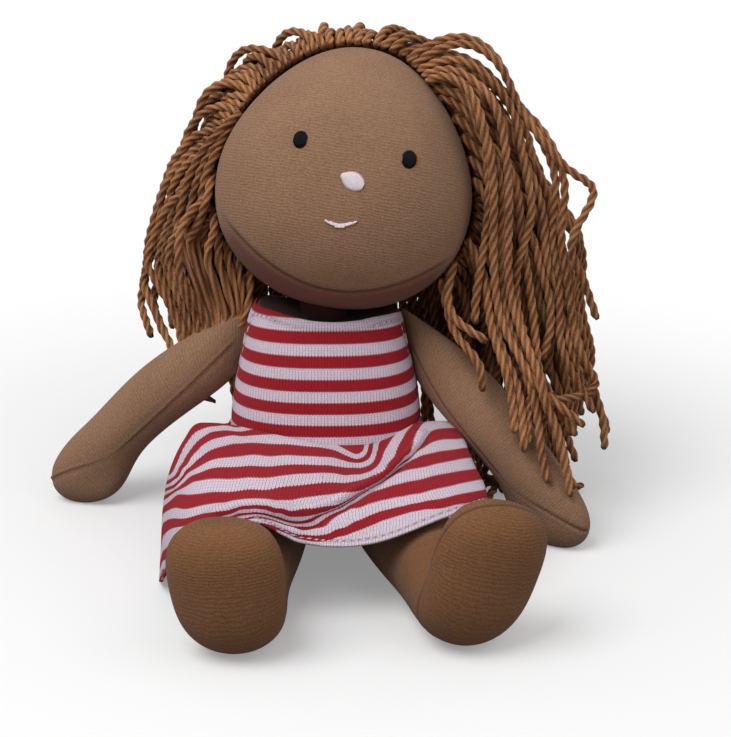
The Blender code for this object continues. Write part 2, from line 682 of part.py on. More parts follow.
def lock_group(name, routes):
    """Neighbouring locks, each a tapering tube, joined into one solid."""
    first = None
    for count, route in enumerate(routes):
        radii = [LOCK_RADIUS * share for share in LOCK_ROUND_SHARES]
        mesh = tube(name, [point - neck_centre for point in route], radii, LOCK_SIDES)
        if first is None:
            first = place(name, mesh, yarn, Matrix.Translation(neck_centre), head)
        else:
            extra = place(name + "_lock_" + str(count), mesh, yarn, Matrix.Translation(neck_centre))
            carve(first, as_tool(extra), "UNION")
    return first


def bearings(count, start, end):
    return [start + (end - start) * step / (count - 1) for step in range(count)]


right_routes = []
for count, bearing in enumerate(bearings(RIGHT_LOCK_COUNT, RIGHT_LOCK_FROM, RIGHT_LOCK_TO)):
    share = count / (RIGHT_LOCK_COUNT - 1)
    height = RIGHT_LOCK_END + (RIGHT_LOCK_BACK_END - RIGHT_LOCK_END) * share
    away = Vector((cos(bearing), sin(bearing), 0)) * RIGHT_LOCK_OUT
    right_routes.append(lock_route(bearing, lambda edge: Vector((edge.x, edge.y, height)) + away))
lock_group("hair_right_locks", right_routes)

left_routes = []
for count, bearing in enumerate(bearings(LEFT_LOCK_COUNT, LEFT_LOCK_FROM, LEFT_LOCK_TO)):
    tip = Vector((left_shoulder.x + ARM_LENGTH * LEFT_END_OUT_SHARES[count],
                  left_shoulder.y - ARM_LENGTH * LEFT_END_FORWARD_SHARES[count],
                  left_shoulder.z * LEFT_END_UP_SHARES[count]))
    left_routes.append(lock_route(bearing, lambda edge: tip, LEFT_LOCK_STAND))
lock_group("hair_left_locks", left_routes)

back_routes = [lock_route(bearing, lambda edge: Vector((edge.x, edge.y, BACK_LOCKS_END)), 0, BACK_SLOPE)
               for bearing in bearings(BACK_LOCK_COUNT, BACK_LOCK_FROM, BACK_LOCK_TO)]
lock_group("hair_back_locks", back_routes)


# Bodice: front and back panels over the body bag, sewn at the sides
neckline = ball("neckline", scoop_middle, scoop_radii + Vector((1, 1, 1)) * NECKLINE_MARGIN)
armholes = []
for side_name, shoulder, outward in (("left", left_shoulder, 1), ("right", right_shoulder, -1)):
    inner = shoulder - X * (outward * ARMHOLE_BITE)
    outer = shoulder + X * (outward * (TORSO_WIDTH / 2 - ARMHOLE_BITE))
    half_height = ARM_SEAM_WIDTH / 2 + ARMHOLE_SLACK
    rings = [ring(middle, Y, Z, ARMHOLE_DEPTH / 2, half_height, STITCH_SIDES, ARMHOLE_SQUARENESS)
             for middle in (inner, outer)]
    armholes.append(as_tool(place(side_name + "_armhole", loft(side_name + "_armhole", rings), skin)))

waist = (Z * WAIST_UP, -Z)
seam_line = Y * TORSO_LEAN / 2
front_half = (seam_line - Y * SIDE_SEAM_GAP / 2, Y)
back_half = (seam_line + Y * SIDE_SEAM_GAP / 2, -Y)
for name, half in (("bodice_front", front_half), ("bodice_back", back_half)):
    panel = shell_of(torso_plain, name, (waist, half), GAP, CLOTH, Matrix.Identity(4), torso, jersey)
    carve(panel, neckline)
    for armhole in armholes:
        carve(panel, armhole)


# Skirt: one cloth arch over the legs in front, a flared fall behind
def waist_point(angle):
    """A point on the outside of the bodice at the waist, by bearing."""
    ahead = Vector((cos(angle), sin(angle), 0))
    hit, _, _, _ = torso_skin.ray_cast(Z * (WAIST_UP - GAP) + seam_line, ahead)
    return hit + ahead * (2 * GAP + CLOTH)


def hem_front(across):
    """The hem in front: along the ground beside the hips, then in an arch over the legs."""
    turn = SKIRT_SIDE_SHARE
    arch_share = min(max((across - turn) / (1 - 2 * turn), 0), 1)
    x, up = rounded(pi - pi * arch_share, SKIRT_SQUARENESS)
    side = abs(x)
    left = x > 0
    back = SKIRT_LEFT_BACK if left else SKIRT_RIGHT_BACK
    corner_y = seam_line.y - TORSO_DEPTH / 2 - SKIRT_REACH + back * side * side
    dip = SKIRT_DIP * (1 + cos(pi * side)) / 2
    edge = SKIRT_CLEAR + (SKIRT_LEFT_LIFT if left else 0) * side
    arch = edge + (SKIRT_TOP - dip - edge) * up
    spot = Vector((SKIRT_HALF_WIDTH * x, corner_y, arch))
    beside = min(across, 1 - across)
    if beside < turn:
        back_spot = back_hem_corner(1 if left else -1)
        spot = back_spot.lerp(spot, beside / turn)
    return spot


def back_hem_corner(outward):
    """Where the side seam reaches the hem."""
    edge = waist_point(0 if outward > 0 else pi)
    return Vector((edge.x + outward * SKIRT_BACK_FLARE, edge.y, SKIRT_CLEAR))


def skirt_front_point(across, down):
    """Across runs from the doll's right to its left, down from the waist to the hem."""
    across = SKIRT_SEAM_SHARE + (1 - 2 * SKIRT_SEAM_SHARE) * across
    top = waist_point(pi + pi * across)
    hem = hem_front(across)
    fold = SKIRT_FOLD * sin(across * pi * 2 * SKIRT_FOLDS) * down * sin(pi * across)
    spread = down ** SKIRT_SPREAD_POWER
    fall = down ** SKIRT_FALL_POWER
    return Vector((top.x + (hem.x - top.x) * spread,
                   top.y + (hem.y - top.y) * down,
                   top.z + (hem.z - top.z) * fall + fold))


def cloth_sheet(name, point_at, parent):
    """A grid of cloth with its thickness."""
    sheet = bmesh.new()
    rows = []
    for down in range(SKIRT_DOWN + 1):
        rows.append([sheet.verts.new(point_at(across / SKIRT_ACROSS, down / SKIRT_DOWN))
                     for across in range(SKIRT_ACROSS + 1)])
    for upper, lower in zip(rows, rows[1:]):
        for step in range(SKIRT_ACROSS):
            sheet.faces.new((upper[step], lower[step], lower[step + 1], upper[step + 1]))
    mesh = bpy.data.meshes.new(name)
    sheet.to_mesh(mesh)
    sheet.free()
    piece = place(name, mesh, jersey, None, parent)
    wall = piece.modifiers.new("wall", "SOLIDIFY")
    wall.thickness = CLOTH
    wall.offset = 1
    return piece


cloth_sheet("skirt_front", skirt_front_point, torso)


def skirt_back_point(across, down):
    """Across runs from the doll's left to its right, round the back."""
    across = SKIRT_SEAM_SHARE + (1 - 2 * SKIRT_SEAM_SHARE) * across
    angle = pi * across
    top = waist_point(angle)
    outward = Vector((cos(angle), sin(angle), 0))
    fold = SKIRT_FOLD * sin(across * pi * 2 * SKIRT_FOLDS) * down * sin(angle)
    flare = SKIRT_BACK_FLARE * down ** SKIRT_SPREAD_POWER
    fall = (top.z - SKIRT_CLEAR) * down ** SKIRT_FALL_POWER
    return top + outward * (flare + fold) - Z * fall


cloth_sheet("skirt_back", skirt_back_point, torso)


def tell(label, spot):
    print(label, tuple(round(value, 5) for value in spot))


tell("neck centre", neck_centre)
tell("left shoulder", left_shoulder)
tell("left shoulder axis", left_arm_axis)
tell("right shoulder", right_shoulder)
tell("right shoulder axis", right_arm_axis)
tell("left hip", left_hip)
tell("left hip axis", left_leg_axis)
tell("right hip", right_hip)
tell("right hip axis", right_leg_axis)
tell("head centre", head_centre)
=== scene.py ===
# %% [markdown]
# A rag doll: stuffed brown knit, a striped jersey dress and yarn hair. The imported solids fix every
# size and place, and this file gives them their cloth, stitches and yarn. All lengths are in metres.

# %% Load the fixed frame
from math import cos, pi, radians, sin

import bpy
import numpy as np
from mathutils import Matrix, Vector
from mathutils.bvhtree import BVHTree
from mathutils.kdtree import KDTree


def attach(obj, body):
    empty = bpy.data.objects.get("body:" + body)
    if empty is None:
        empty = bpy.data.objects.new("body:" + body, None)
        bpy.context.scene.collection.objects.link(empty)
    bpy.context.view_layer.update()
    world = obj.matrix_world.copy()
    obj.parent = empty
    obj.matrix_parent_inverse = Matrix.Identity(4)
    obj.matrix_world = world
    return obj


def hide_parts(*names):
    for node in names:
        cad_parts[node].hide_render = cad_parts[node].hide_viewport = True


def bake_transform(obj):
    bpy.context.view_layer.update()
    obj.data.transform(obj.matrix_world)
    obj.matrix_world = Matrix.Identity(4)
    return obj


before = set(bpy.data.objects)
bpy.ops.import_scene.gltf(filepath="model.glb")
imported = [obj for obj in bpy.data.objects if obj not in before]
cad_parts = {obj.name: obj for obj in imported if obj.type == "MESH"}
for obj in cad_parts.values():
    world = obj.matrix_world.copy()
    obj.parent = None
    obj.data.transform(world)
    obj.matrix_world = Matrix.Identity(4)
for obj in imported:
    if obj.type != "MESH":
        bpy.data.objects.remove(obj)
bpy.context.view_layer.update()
MM = 0.001
X, Y, Z = Vector((1, 0, 0)), Vector((0, 1, 0)), Vector((0, 0, 1))


# %% [markdown]
# The camera comes first, because it decides what shows. The photograph looks down at the doll by
# about 20 degrees, from a little over half a metre away. Its focal length is given in pixels of the
# picture, because that is how it was fitted, and a lens is that length as a share of the sensor.

# %% Camera
PICTURE_WIDTH = 731
FOCAL_PIXELS = 1650
SENSOR = 36
CAMERA_PLACE = (0.015, -0.5838, 0.2722)
LOOK_DOWN = radians(20)

bpy.ops.object.camera_add(location=CAMERA_PLACE, rotation=(pi / 2 - LOOK_DOWN, 0, 0))
camera = bpy.context.object
camera.data.sensor_fit = "HORIZONTAL"
camera.data.sensor_width = SENSOR
camera.data.lens = FOCAL_PIXELS / PICTURE_WIDTH * SENSOR
camera.data.clip_start = 0.01
bpy.context.scene.camera = camera
print("lens", round(camera.data.lens, 2))


# %% [markdown]
# The room is left out. A pale floor takes the doll's shadow, and a white world stands behind it.
# The floor looks pale to the camera but throws little light back up, so undersides stay dark.
# One large soft lamp from the upper left gives the photograph's light side and shaded side, and the
# world fills the rest.

# %% Floor, world and lamps
FLOOR_SIZE = 6
FLOOR_GREY, FLOOR_BOUNCE = 0.9, 0.25
FILL = 0.46
KEY_WATTS = 9.0
KEY_SIZE = 0.7
KEY_PLACE = Vector((-0.45, -0.45, 1.0))
RIM_WATTS = 1.2
RIM_PLACE = Vector((0.6, -0.35, 0.55))


def select_only(piece):
    """Operators act on what is selected, so this leaves just one piece selected."""
    bpy.ops.object.select_all(action="DESELECT")
    piece.select_set(True)
    bpy.context.view_layer.objects.active = piece


def lamp(place, watts, size):
    bpy.ops.object.light_add(type="AREA", location=place)
    light = bpy.context.object
    light.data.energy = watts
    light.data.size = size
    light.rotation_euler = (-place).to_track_quat("-Z", "Y").to_euler()
    return light


lamp(KEY_PLACE, KEY_WATTS, KEY_SIZE)
lamp(RIM_PLACE, RIM_WATTS, KEY_SIZE)

bpy.ops.object.select_all(action="DESELECT")
bpy.ops.mesh.primitive_plane_add(size=FLOOR_SIZE)
floor = bpy.context.object
floor.name = "floor"
floor_finish = bpy.data.materials.new("floor_paper")
floor_finish.use_nodes = True
paper = floor_finish.node_tree
level = paper.nodes.new("ShaderNodeMapRange")
level.inputs["To Min"].default_value = FLOOR_BOUNCE
level.inputs["To Max"].default_value = FLOOR_GREY
paper.nodes["Principled BSDF"].inputs["Roughness"].default_value = 1
glow = paper.nodes.new("ShaderNodeEmission")
mixed = paper.nodes.new("ShaderNodeMixShader")
seen = paper.nodes.new("ShaderNodeLightPath")
where = paper.nodes.new("ShaderNodeTexCoord")
far = paper.nodes.new("ShaderNodeVectorMath")
far.operation = "LENGTH"
fade = paper.nodes.new("ShaderNodeMapRange")
fade.interpolation_type = "SMOOTHSTEP"
for socket, value in (("From Min", 0.10), ("From Max", 0.34), ("To Min", 0.25), ("To Max", 1)):
    fade.inputs[socket].default_value = value
both = paper.nodes.new("ShaderNodeMath")
both.operation = "MULTIPLY"
paper.links.new(seen.outputs["Is Camera Ray"], level.inputs["Value"])
paper.links.new(level.outputs["Result"], paper.nodes["Principled BSDF"].inputs["Base Color"])
paper.links.new(where.outputs["Object"], far.inputs[0])
paper.links.new(far.outputs["Value"], fade.inputs["Value"])
paper.links.new(fade.outputs["Result"], both.inputs[0])
paper.links.new(seen.outputs["Is Camera Ray"], both.inputs[1])
paper.links.new(both.outputs[0], mixed.inputs[0])
paper.links.new(paper.nodes["Principled BSDF"].outputs[0], mixed.inputs[1])
paper.links.new(glow.outputs[0], mixed.inputs[2])
paper.links.new(mixed.outputs[0], paper.nodes["Material Output"].inputs["Surface"])
floor.data.materials.append(floor_finish)

world = bpy.data.worlds.new("white_room")
world.use_nodes = True
bpy.context.scene.world = world
sky = world.node_tree.nodes
path = sky.new("ShaderNodeLightPath")
level = sky.new("ShaderNodeMapRange")
level.inputs["To Min"].default_value = FILL
level.inputs["To Max"].default_value = 1
sky["Background"].inputs["Color"].default_value = (1, 1, 1, 1)
world.node_tree.links.new(path.outputs["Is Camera Ray"], level.inputs["Value"])
world.node_tree.links.new(level.outputs["Result"], sky["Background"].inputs["Strength"])
bpy.context.scene.view_settings.view_transform = "Standard"


# %% [markdown]
# Everything here is fabric, so each finish is a matt colour broken up by its own structure. Knitting
# is columns of small V shapes. A pattern of that kind is drawn on the piece's own UV map, which is
# laid out in metres along the cloth, so the stitches keep their size and follow every fold.

# %% Helpers for node materials
def finish(name, roughness, sheen):
    """A fabric material. Values that are the same all over go on the shader's own sockets."""
    made = bpy.data.materials.new(name)
    made.use_nodes = True
    shader = made.node_tree.nodes["Principled BSDF"]
    shader.inputs["Roughness"].default_value = roughness
    shader.inputs["Sheen Weight"].default_value = sheen
    shader.inputs["Sheen Roughness"].default_value = 0.6
    shader.inputs["Specular IOR Level"].default_value = 0.12
    return made, made.node_tree, shader


def link(tree, source, target):
    tree.links.new(source, target)


def sum_of(tree, operation, first, second=None, third=None):
    """One Math node. Numbers are typed in, and sockets are linked."""
    made = tree.nodes.new("ShaderNodeMath")
    made.operation = operation
    for slot, value in zip(made.inputs, (first, second, third)):
        if value is None:
            continue
        if isinstance(value, (int, float)):
            slot.default_value = value
        else:
            link(tree, value, slot)
    return made.outputs[0]


def blend_colours(tree, share, first, second, mode="MIX"):
    made = tree.nodes.new("ShaderNodeMix")
    made.data_type = "RGBA"
    made.blend_type = mode
    made.clamp_factor = True
    for socket, value in ((made.inputs[0], share), (made.inputs[6], first), (made.inputs[7], second)):
        if isinstance(value, (int, float)):
            socket.default_value = value
        elif isinstance(value, tuple):
            socket.default_value = value
        else:
            link(tree, value, socket)
    return made.outputs[2]


def noise(tree, coordinates, scale, detail=2.0):
    made = tree.nodes.new("ShaderNodeTexNoise")
    made.inputs["Scale"].default_value = scale
    made.inputs["Detail"].default_value = detail
    link(tree, coordinates, made.inputs["Vector"])
    return made.outputs["Fac"]


def stretched(tree, value, low, high, to_low, to_high):
    made = tree.nodes.new("ShaderNodeMapRange")
    for name, number in (("From Min", low), ("From Max", high), ("To Min", to_low), ("To Max", to_high)):
        made.inputs[name].default_value = number
    link(tree, value, made.inputs["Value"])
    return made.outputs["Result"]


def place_on(tree, kind):
    return tree.nodes.new("ShaderNodeTexCoord").outputs[kind]


def attribute(tree, name):
    made = tree.nodes.new("ShaderNodeAttribute")
    made.attribute_name = name
    return made.outputs["Fac"]


def bumped(tree, shader, height, strength, distance):
    made = tree.nodes.new("ShaderNodeBump")
    made.inputs["Strength"].default_value = strength
    made.inputs["Distance"].default_value = distance
    link(tree, height, made.inputs["Height"])
    link(tree, made.outputs["Normal"], shader.inputs["Normal"])


# %% [markdown]
# The knit: each wale, or column, is two legs that lean together into a V. Across a wale the height
# rises over each leg and falls between them, and along it a wave whose crests bend towards the
# middle of the wale makes the Vs.

# %% The knit pattern
def knit(tree, wale, course):
    """Returns the stitches' height, the place across the wale and the place along the cloth."""
    apart = tree.nodes.new("ShaderNodeSeparateXYZ")
    link(tree, place_on(tree, "UV"), apart.inputs[0])
    across = sum_of(tree, "FRACT", sum_of(tree, "DIVIDE", apart.outputs[0], wale))
    lean = sum_of(tree, "ABSOLUTE", sum_of(tree, "SUBTRACT", across, 0.5))
    leg = sum_of(tree, "ABSOLUTE", sum_of(tree, "SINE", sum_of(tree, "MULTIPLY", across, 2 * pi)))
    rows = sum_of(tree, "ADD", sum_of(tree, "DIVIDE", apart.outputs[1], course), lean)
    wave = sum_of(tree, "COSINE", sum_of(tree, "MULTIPLY", rows, 2 * pi))
    stitch = stretched(tree, wave, -1, 1, 0.35, 1)
    return sum_of(tree, "MULTIPLY", leg, stitch), lean, apart.outputs[1]


# %% Skin knit
SKIN = (0.330, 0.192, 0.116, 1)
SKIN_DARK = (0.190, 0.096, 0.054, 1)
SEAM_SHADE = (0.075, 0.032, 0.02, 1)
CHIN_RED_AND_SHADE = (0.155, 0.052, 0.034, 1)
FOOT_PAINTED_SHADE = (0.72, 0.57, 0.42, 1)
DEEP_SHADE = (0.055, 0.018, 0.013, 1)
SKIN_WALE = 1.0 * MM
SKIN_COURSE = 1.1 * MM

skin, tree, shader = finish("skin_knit", 0.95, 0.06)
height, _, along = knit(tree, SKIN_WALE, SKIN_COURSE)
drift = noise(tree, place_on(tree, "Object"), 260, 2.0)
rows = sum_of(tree, "ADD", sum_of(tree, "DIVIDE", along, SKIN_COURSE), sum_of(tree, "MULTIPLY", drift, 1.5))
course = sum_of(tree, "COSINE", sum_of(tree, "MULTIPLY", rows, 2 * pi))
mottle = noise(tree, place_on(tree, "Object"), 1500, 3.0)
patches = noise(tree, place_on(tree, "Object"), 45, 2.0)
# The tone is a random mottle and patches, with painted shade in the troughs of the rib
tone = sum_of(tree, "ADD", stretched(tree, mottle, 0.3, 0.7, -0.1, 0.62), stretched(tree, course, -1, 1, 0.28, 0))
tone = sum_of(tree, "ADD", tone, stretched(tree, patches, 0.35, 0.65, -0.06, 0.10))
colour = blend_colours(tree, tone, SKIN, SKIN_DARK)
# The feet are painted darker: painted shade, multiplied into the skin's colour
colour = blend_colours(tree, attribute(tree, "painted_foot_shade"), colour, FOOT_PAINTED_SHADE, "MULTIPLY")
# Under the chin: a redder panel, darkened further with painted shade
colour = blend_colours(tree, attribute(tree, "under_chin_red_and_shade"), colour, CHIN_RED_AND_SHADE)
colour = blend_colours(tree, attribute(tree, "deep"), colour, DEEP_SHADE)
colour = blend_colours(tree, attribute(tree, "seam"), colour, SEAM_SHADE)
link(tree, colour, shader.inputs["Base Color"])
relief = sum_of(tree, "ADD", sum_of(tree, "MULTIPLY", height, 0.45), stretched(tree, course, -1, 1, 0, 0.55))
bumped(tree, shader, relief, 0.75, 0.16 * MM)
print("finish", skin.name)

# %% Dress jersey
RED = (0.47, 0.016, 0.030, 1)
WHITE = (0.93, 0.81, 0.89, 1)
WHITE_PAINTED_SHADE = (0.50, 0.39, 0.50, 1)
RED_PAINTED_SHADE = (0.25, 0.007, 0.015, 1)
STRIPE_PERIOD = 8.45 * MM
RED_SHARE = 0.52
JERSEY_WALE = 1.18 * MM
JERSEY_COURSE = 0.85 * MM
STITCH_GROOVE = (0.10, 0.02, 0.03, 1)
STITCH_WHITE = (0.82, 0.72, 0.78, 1)
STITCH_TURNS = 2 * pi / (2.9 * MM)

jersey, tree, shader = finish("dress_jersey", 0.95, 0.05)
height, lean, along = knit(tree, JERSEY_WALE, JERSEY_COURSE)
zigzag = sum_of(tree, "MULTIPLY_ADD", lean, 0.9 * MM, along)
band = sum_of(tree, "FRACT", sum_of(tree, "DIVIDE", zigzag, STRIPE_PERIOD))
red_band = stretched(tree, sum_of(tree, "ABSOLUTE", sum_of(tree, "SUBTRACT", band, 0.5)),
                     RED_SHARE / 2 - 0.02, RED_SHARE / 2 + 0.02, 1, 0)
fuzz = noise(tree, place_on(tree, "Object"), 1300, 3.0)
# Painted shade in the dips between the stitch legs and between the wales, with a random tone from the fuzz
shade = sum_of(tree, "ADD", stretched(tree, height, 0.0, 0.8, 0.95, 0), stretched(tree, fuzz, 0.3, 0.7, -0.1, 0.25))
shade = sum_of(tree, "ADD", shade, stretched(tree, lean, 0.1, 0.5, -0.22, 0.45))
reds = blend_colours(tree, shade, RED, RED_PAINTED_SHADE)
whites = blend_colours(tree, shade, WHITE, WHITE_PAINTED_SHADE)
striped = blend_colours(tree, red_band, whites, reds)
# Topstitching: a pulled-in line, painted where it runs, with a white thread over most of it
line = attribute(tree, "topstitch")
ways = tree.nodes.new("ShaderNodeSeparateXYZ")
link(tree, place_on(tree, "UV"), ways.inputs[0])
dash = sum_of(tree, "SINE", sum_of(tree, "MULTIPLY", sum_of(tree, "ADD", ways.outputs[0], ways.outputs[1]), STITCH_TURNS))
thread = sum_of(tree, "MULTIPLY", stretched(tree, line, 0.55, 0.85, 0, 1), stretched(tree, dash, -0.3, 0.1, 0, 1))
striped = blend_colours(tree, sum_of(tree, "MULTIPLY", line, 0.6), striped, STITCH_GROOVE)
link(tree, blend_colours(tree, thread, striped, STITCH_WHITE), shader.inputs["Base Color"])
relief = sum_of(tree, "SUBTRACT", height, sum_of(tree, "MULTIPLY", line, 1.2))
bumped(tree, shader, sum_of(tree, "ADD", relief, thread), 0.9, 0.3 * MM)
print("finish", jersey.name)

# %% Yarn and embroidery threads
YARN = (0.560, 0.262, 0.112, 1)
YARN_DARK = (0.105, 0.032, 0.010, 1)

yarn, tree, shader = finish("hair_yarn", 0.85, 0.08)
fibres = noise(tree, place_on(tree, "Object"), 2600, 4.0)
hanks = noise(tree, place_on(tree, "Object"), 60, 2.0)
tone = sum_of(tree, "ADD", stretched(tree, fibres, 0.3, 0.7, -0.05, 0.5), stretched(tree, hanks, 0.3, 0.7, -0.15, 0.3))
# Painted shade in the dips between the plies, from the groove attribute
tone = sum_of(tree, "ADD", tone, stretched(tree, attribute(tree, "groove"), 0, 1, 0, 0.70))
link(tree, blend_colours(tree, tone, YARN, YARN_DARK), shader.inputs["Base Color"])
bumped(tree, shader, fibres, 0.6, 0.12 * MM)


def thread_finish(name, light, dark, sheen):
    made, tree, shader = finish(name, 0.55, sheen)
    strands = noise(tree, place_on(tree, "Object"), 2200, 2.0)
    link(tree, blend_colours(tree, strands, light, dark), shader.inputs["Base Color"])
    bumped(tree, shader, strands, 0.3, 0.05 * MM)
    return made


black_thread = thread_finish("black_thread", (0.008, 0.007, 0.009, 1), (0.002, 0.002, 0.003, 1), 0.0)
pink_thread = thread_finish("pink_thread", (0.90, 0.72, 0.74, 1), (0.66, 0.45, 0.48, 1), 0.3)
white_thread = thread_finish("white_thread", (0.90, 0.82, 0.86, 1), (0.66, 0.54, 0.60, 1), 0.2)
brown_thread = thread_finish("brown_thread", (0.33, 0.17, 0.10, 1), (0.16, 0.075, 0.045, 1), 0.2)
print("finishes", len(bpy.data.materials))


# %% [markdown]
# A stuffed piece is cut from flat knit, sewn into a tube and filled until it is round. Here each one
# starts as a sphere primitive, whose rings are then moved to sections along the limb. The sections
# come from a short table, and a smooth curve is read through it, which is what stuffing does to cloth.

# %% Stuffed forms
def spline_weights(share):
    """The four weights of a uniform cubic B-spline."""
    return ((1 - share) ** 3 / 6, (3 * share ** 3 - 6 * share ** 2 + 4) / 6,
            (-3 * share ** 3 + 3 * share ** 2 + 3 * share + 1) / 6, share ** 3 / 6)


def along_table(table, where, closed_ends=(False, False), odd=False):
    """Reads rows of a table at places from 0 to 1 along it. A closed end is rounded over."""
    rows = np.asarray(table, dtype=float)
    first = 2 * rows[0] - rows[1]
    last = 2 * rows[-1] - rows[-2]
    if closed_ends[0]:
        first = -rows[1] if odd else rows[1]
    if closed_ends[1]:
        last = -rows[-2] if odd else rows[-2]
    rows = np.vstack([[first], rows, [last]])
    spot = np.clip(where, 0, 1) * (len(table) - 1)
    cell = np.minimum(spot.astype(int), len(table) - 2)
    weights = spline_weights((spot - cell)[:, None])
    return sum(weight * rows[cell + step] for step, weight in enumerate(weights))


def superellipse(angle, squareness):
    power = 2 / squareness
    across, along = np.cos(angle), np.sin(angle)
    return np.abs(across) ** power * np.sign(across), np.abs(along) ** power * np.sign(along)


def stuff(name, centres, across, along, around, lengthwise, squareness=2.0, closed=(True, True)):
    """A sphere primitive pulled over sections. Each section has a centre and two half-size vectors."""
    bpy.ops.object.select_all(action="DESELECT")
    bpy.ops.mesh.primitive_uv_sphere_add(segments=around, ring_count=lengthwise, radius=1)
    piece = bpy.context.object
    piece.name = piece.data.name = name
    ball = np.empty(len(piece.data.vertices) * 3)
    piece.data.vertices.foreach_get("co", ball)
    ball = ball.reshape(-1, 3)
    share = 1 - np.arccos(np.clip(ball[:, 2], -1, 1)) / pi
    angle = np.arctan2(ball[:, 1], ball[:, 0])
    pole = (share < 0.2 / lengthwise) | (share > 1 - 0.2 / lengthwise)
    opened = 1 / lengthwise
    start = opened if not closed[0] else 0
    stop = 1 - opened if not closed[1] else 1
    where = (share - start) / (stop - start)
    middle = along_table(centres, where, closed)
    side = along_table(across, where, closed, True)
    rise = along_table(along, where, closed, True)
    x, y = superellipse(angle, squareness)
    x, y = np.where(pole, 0, x), np.where(pole, 0, y)
    places = middle + side * x[:, None] + rise * y[:, None]
    piece.data.vertices.foreach_set("co", places.ravel())
    lay_out(piece, share, angle, np.asarray(across), np.asarray(along), places)
    bpy.ops.object.shade_smooth()
    return piece, share, angle


def lay_out(piece, share, angle, across, along, places):
    """A UV map in metres: U round the piece, V along it."""
    girth = 2 * pi * np.sqrt((np.linalg.norm(across, axis=1).mean() ** 2
                              + np.linalg.norm(along, axis=1).mean() ** 2) / 2)
    girth = round(girth / SKIN_WALE) * SKIN_WALE
    rings = np.unique(share.round(5))
    spots = np.searchsorted(rings, share.round(5))
    means = np.zeros(len(rings))
    for quarter in (-pi / 2, 0.0, pi / 2):
        row = np.zeros((len(rings), 3))
        best = np.full(len(rings), 9.0)
        off = np.abs(angle - quarter)
        for index in np.argsort(-off):
            ring = spots[index]
            best[ring] = off[index]
            row[ring] = places[index]
        steps = np.linalg.norm(np.diff(row, axis=0), axis=1)
        means += np.concatenate([[0], np.cumsum(steps)]) / 3
    corners = np.empty(len(piece.data.loops), dtype=int)
    piece.data.loops.foreach_get("vertex_index", corners)
    flat = np.empty(len(corners) * 2)
    piece.data.uv_layers[0].uv.foreach_get("vector", flat)
    flat = flat.reshape(-1, 2)
    flat[:, 0] *= girth
    flat[:, 1] = means[spots[corners]]
    piece.data.uv_layers[0].uv.foreach_set("vector", flat.ravel())


def points_of(piece):
    spots = np.empty(len(piece.data.vertices) * 3)
    piece.data.vertices.foreach_get("co", spots)
    return spots.reshape(-1, 3)


def normals_of(piece):
    spots = np.empty(len(piece.data.vertices) * 3)
    piece.data.vertices.foreach_get("normal", spots)
    return spots.reshape(-1, 3)


def move_points(piece, spots):
    piece.data.vertices.foreach_set("co", np.ascontiguousarray(spots).ravel())
    piece.data.update()


def paint(piece, name, values):
    layer = piece.data.attributes.get(name) or piece.data.attributes.new(name, "FLOAT", "POINT")
    layer.data.foreach_set("value", np.asarray(values, dtype=float))


def sew(piece, distance, depth, width, puff, stitch=None, share=1.0):
    """Draws a seam in: a narrow groove with the cloth swelling beside it, and pinched stitches."""
    groove = np.exp(-(distance / width) ** 2) * share
    swell = np.exp(-((np.abs(distance) - 3.2 * width) / (2 * width)) ** 2) * share
    pinch = 1 if stitch is None else 0.75 + 0.25 * np.cos(stitch)
    offset = puff * swell - depth * groove * pinch
    move_points(piece, points_of(piece) + normals_of(piece) * offset[:, None])
    paint(piece, "seam", np.clip(groove * 0.85, 0, 1))


def settle(piece, matrix, material, body, *nodes, slot="skin_knit"):
    """Gives a piece its place in its mesh, its finish, and the body that it rides on."""
    piece.data.transform(matrix)
    piece.data.materials.clear()
    piece.data.materials.append(material)
    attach(piece, body)
    if nodes:
        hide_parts(*nodes)
    return piece


def smoothstep(low, high, value):
    share = np.clip((value - low) / (high - low), 0, 1)
    return share * share * (3 - 2 * share)


print("helpers ready")


# %% [markdown]
# The head is an egg with its narrow end up, leaning to the doll's left and tipped back. A curved seam
# crosses under the chin, where the face joins the piece that closes the head at the neck.

# %% Head
NECK_CENTRE = Vector((-0.0005, 0.007, 0.08385))
HEAD_WIDTH, HEAD_HEIGHT, HEAD_DEPTH = 95.5 * MM, 97.5 * MM, 76 * MM
HEAD_RISE, HEAD_FORWARD = 46.7 * MM, 8 * MM
HEAD_UP_SHARES = (0.0, 0.015, 0.09, 0.22, 0.38, 0.55, 0.72, 0.86, 0.965, 1.0)
HEAD_WIDE_SHARES = (0.0, 0.34, 0.68, 0.93, 1.03, 1.01, 0.84, 0.61, 0.32, 0.0)
HEAD_DEEP_SHARES = (0.0, 0.34, 0.72, 0.95, 1.03, 1.03, 0.93, 0.72, 0.38, 0.0)
HEAD_SHRINK = 0.975
head_turn = Matrix.Rotation(radians(10.5), 4, "Y") @ Matrix.Rotation(radians(-16), 4, "X")
head_place = Matrix.Translation(NECK_CENTRE) @ head_turn
head_middle = Vector((0, -HEAD_FORWARD, HEAD_RISE))
CHIN_DROP = 41.5 * MM
CHIN_CURVE = 11.0


def head_form(name, around, lengthwise, grow=0):
    centres = [head_middle + Z * ((up - 0.5) * (HEAD_HEIGHT + 2 * grow)) for up in HEAD_UP_SHARES]
    wide = [X * ((HEAD_WIDTH / 2 + grow) * share * HEAD_SHRINK) for share in HEAD_WIDE_SHARES]
    deep = [Y * ((HEAD_DEPTH / 2 + grow) * share * HEAD_SHRINK) for share in HEAD_DEEP_SHARES]
    return stuff(name, centres, wide, deep, around, lengthwise, 2.15)


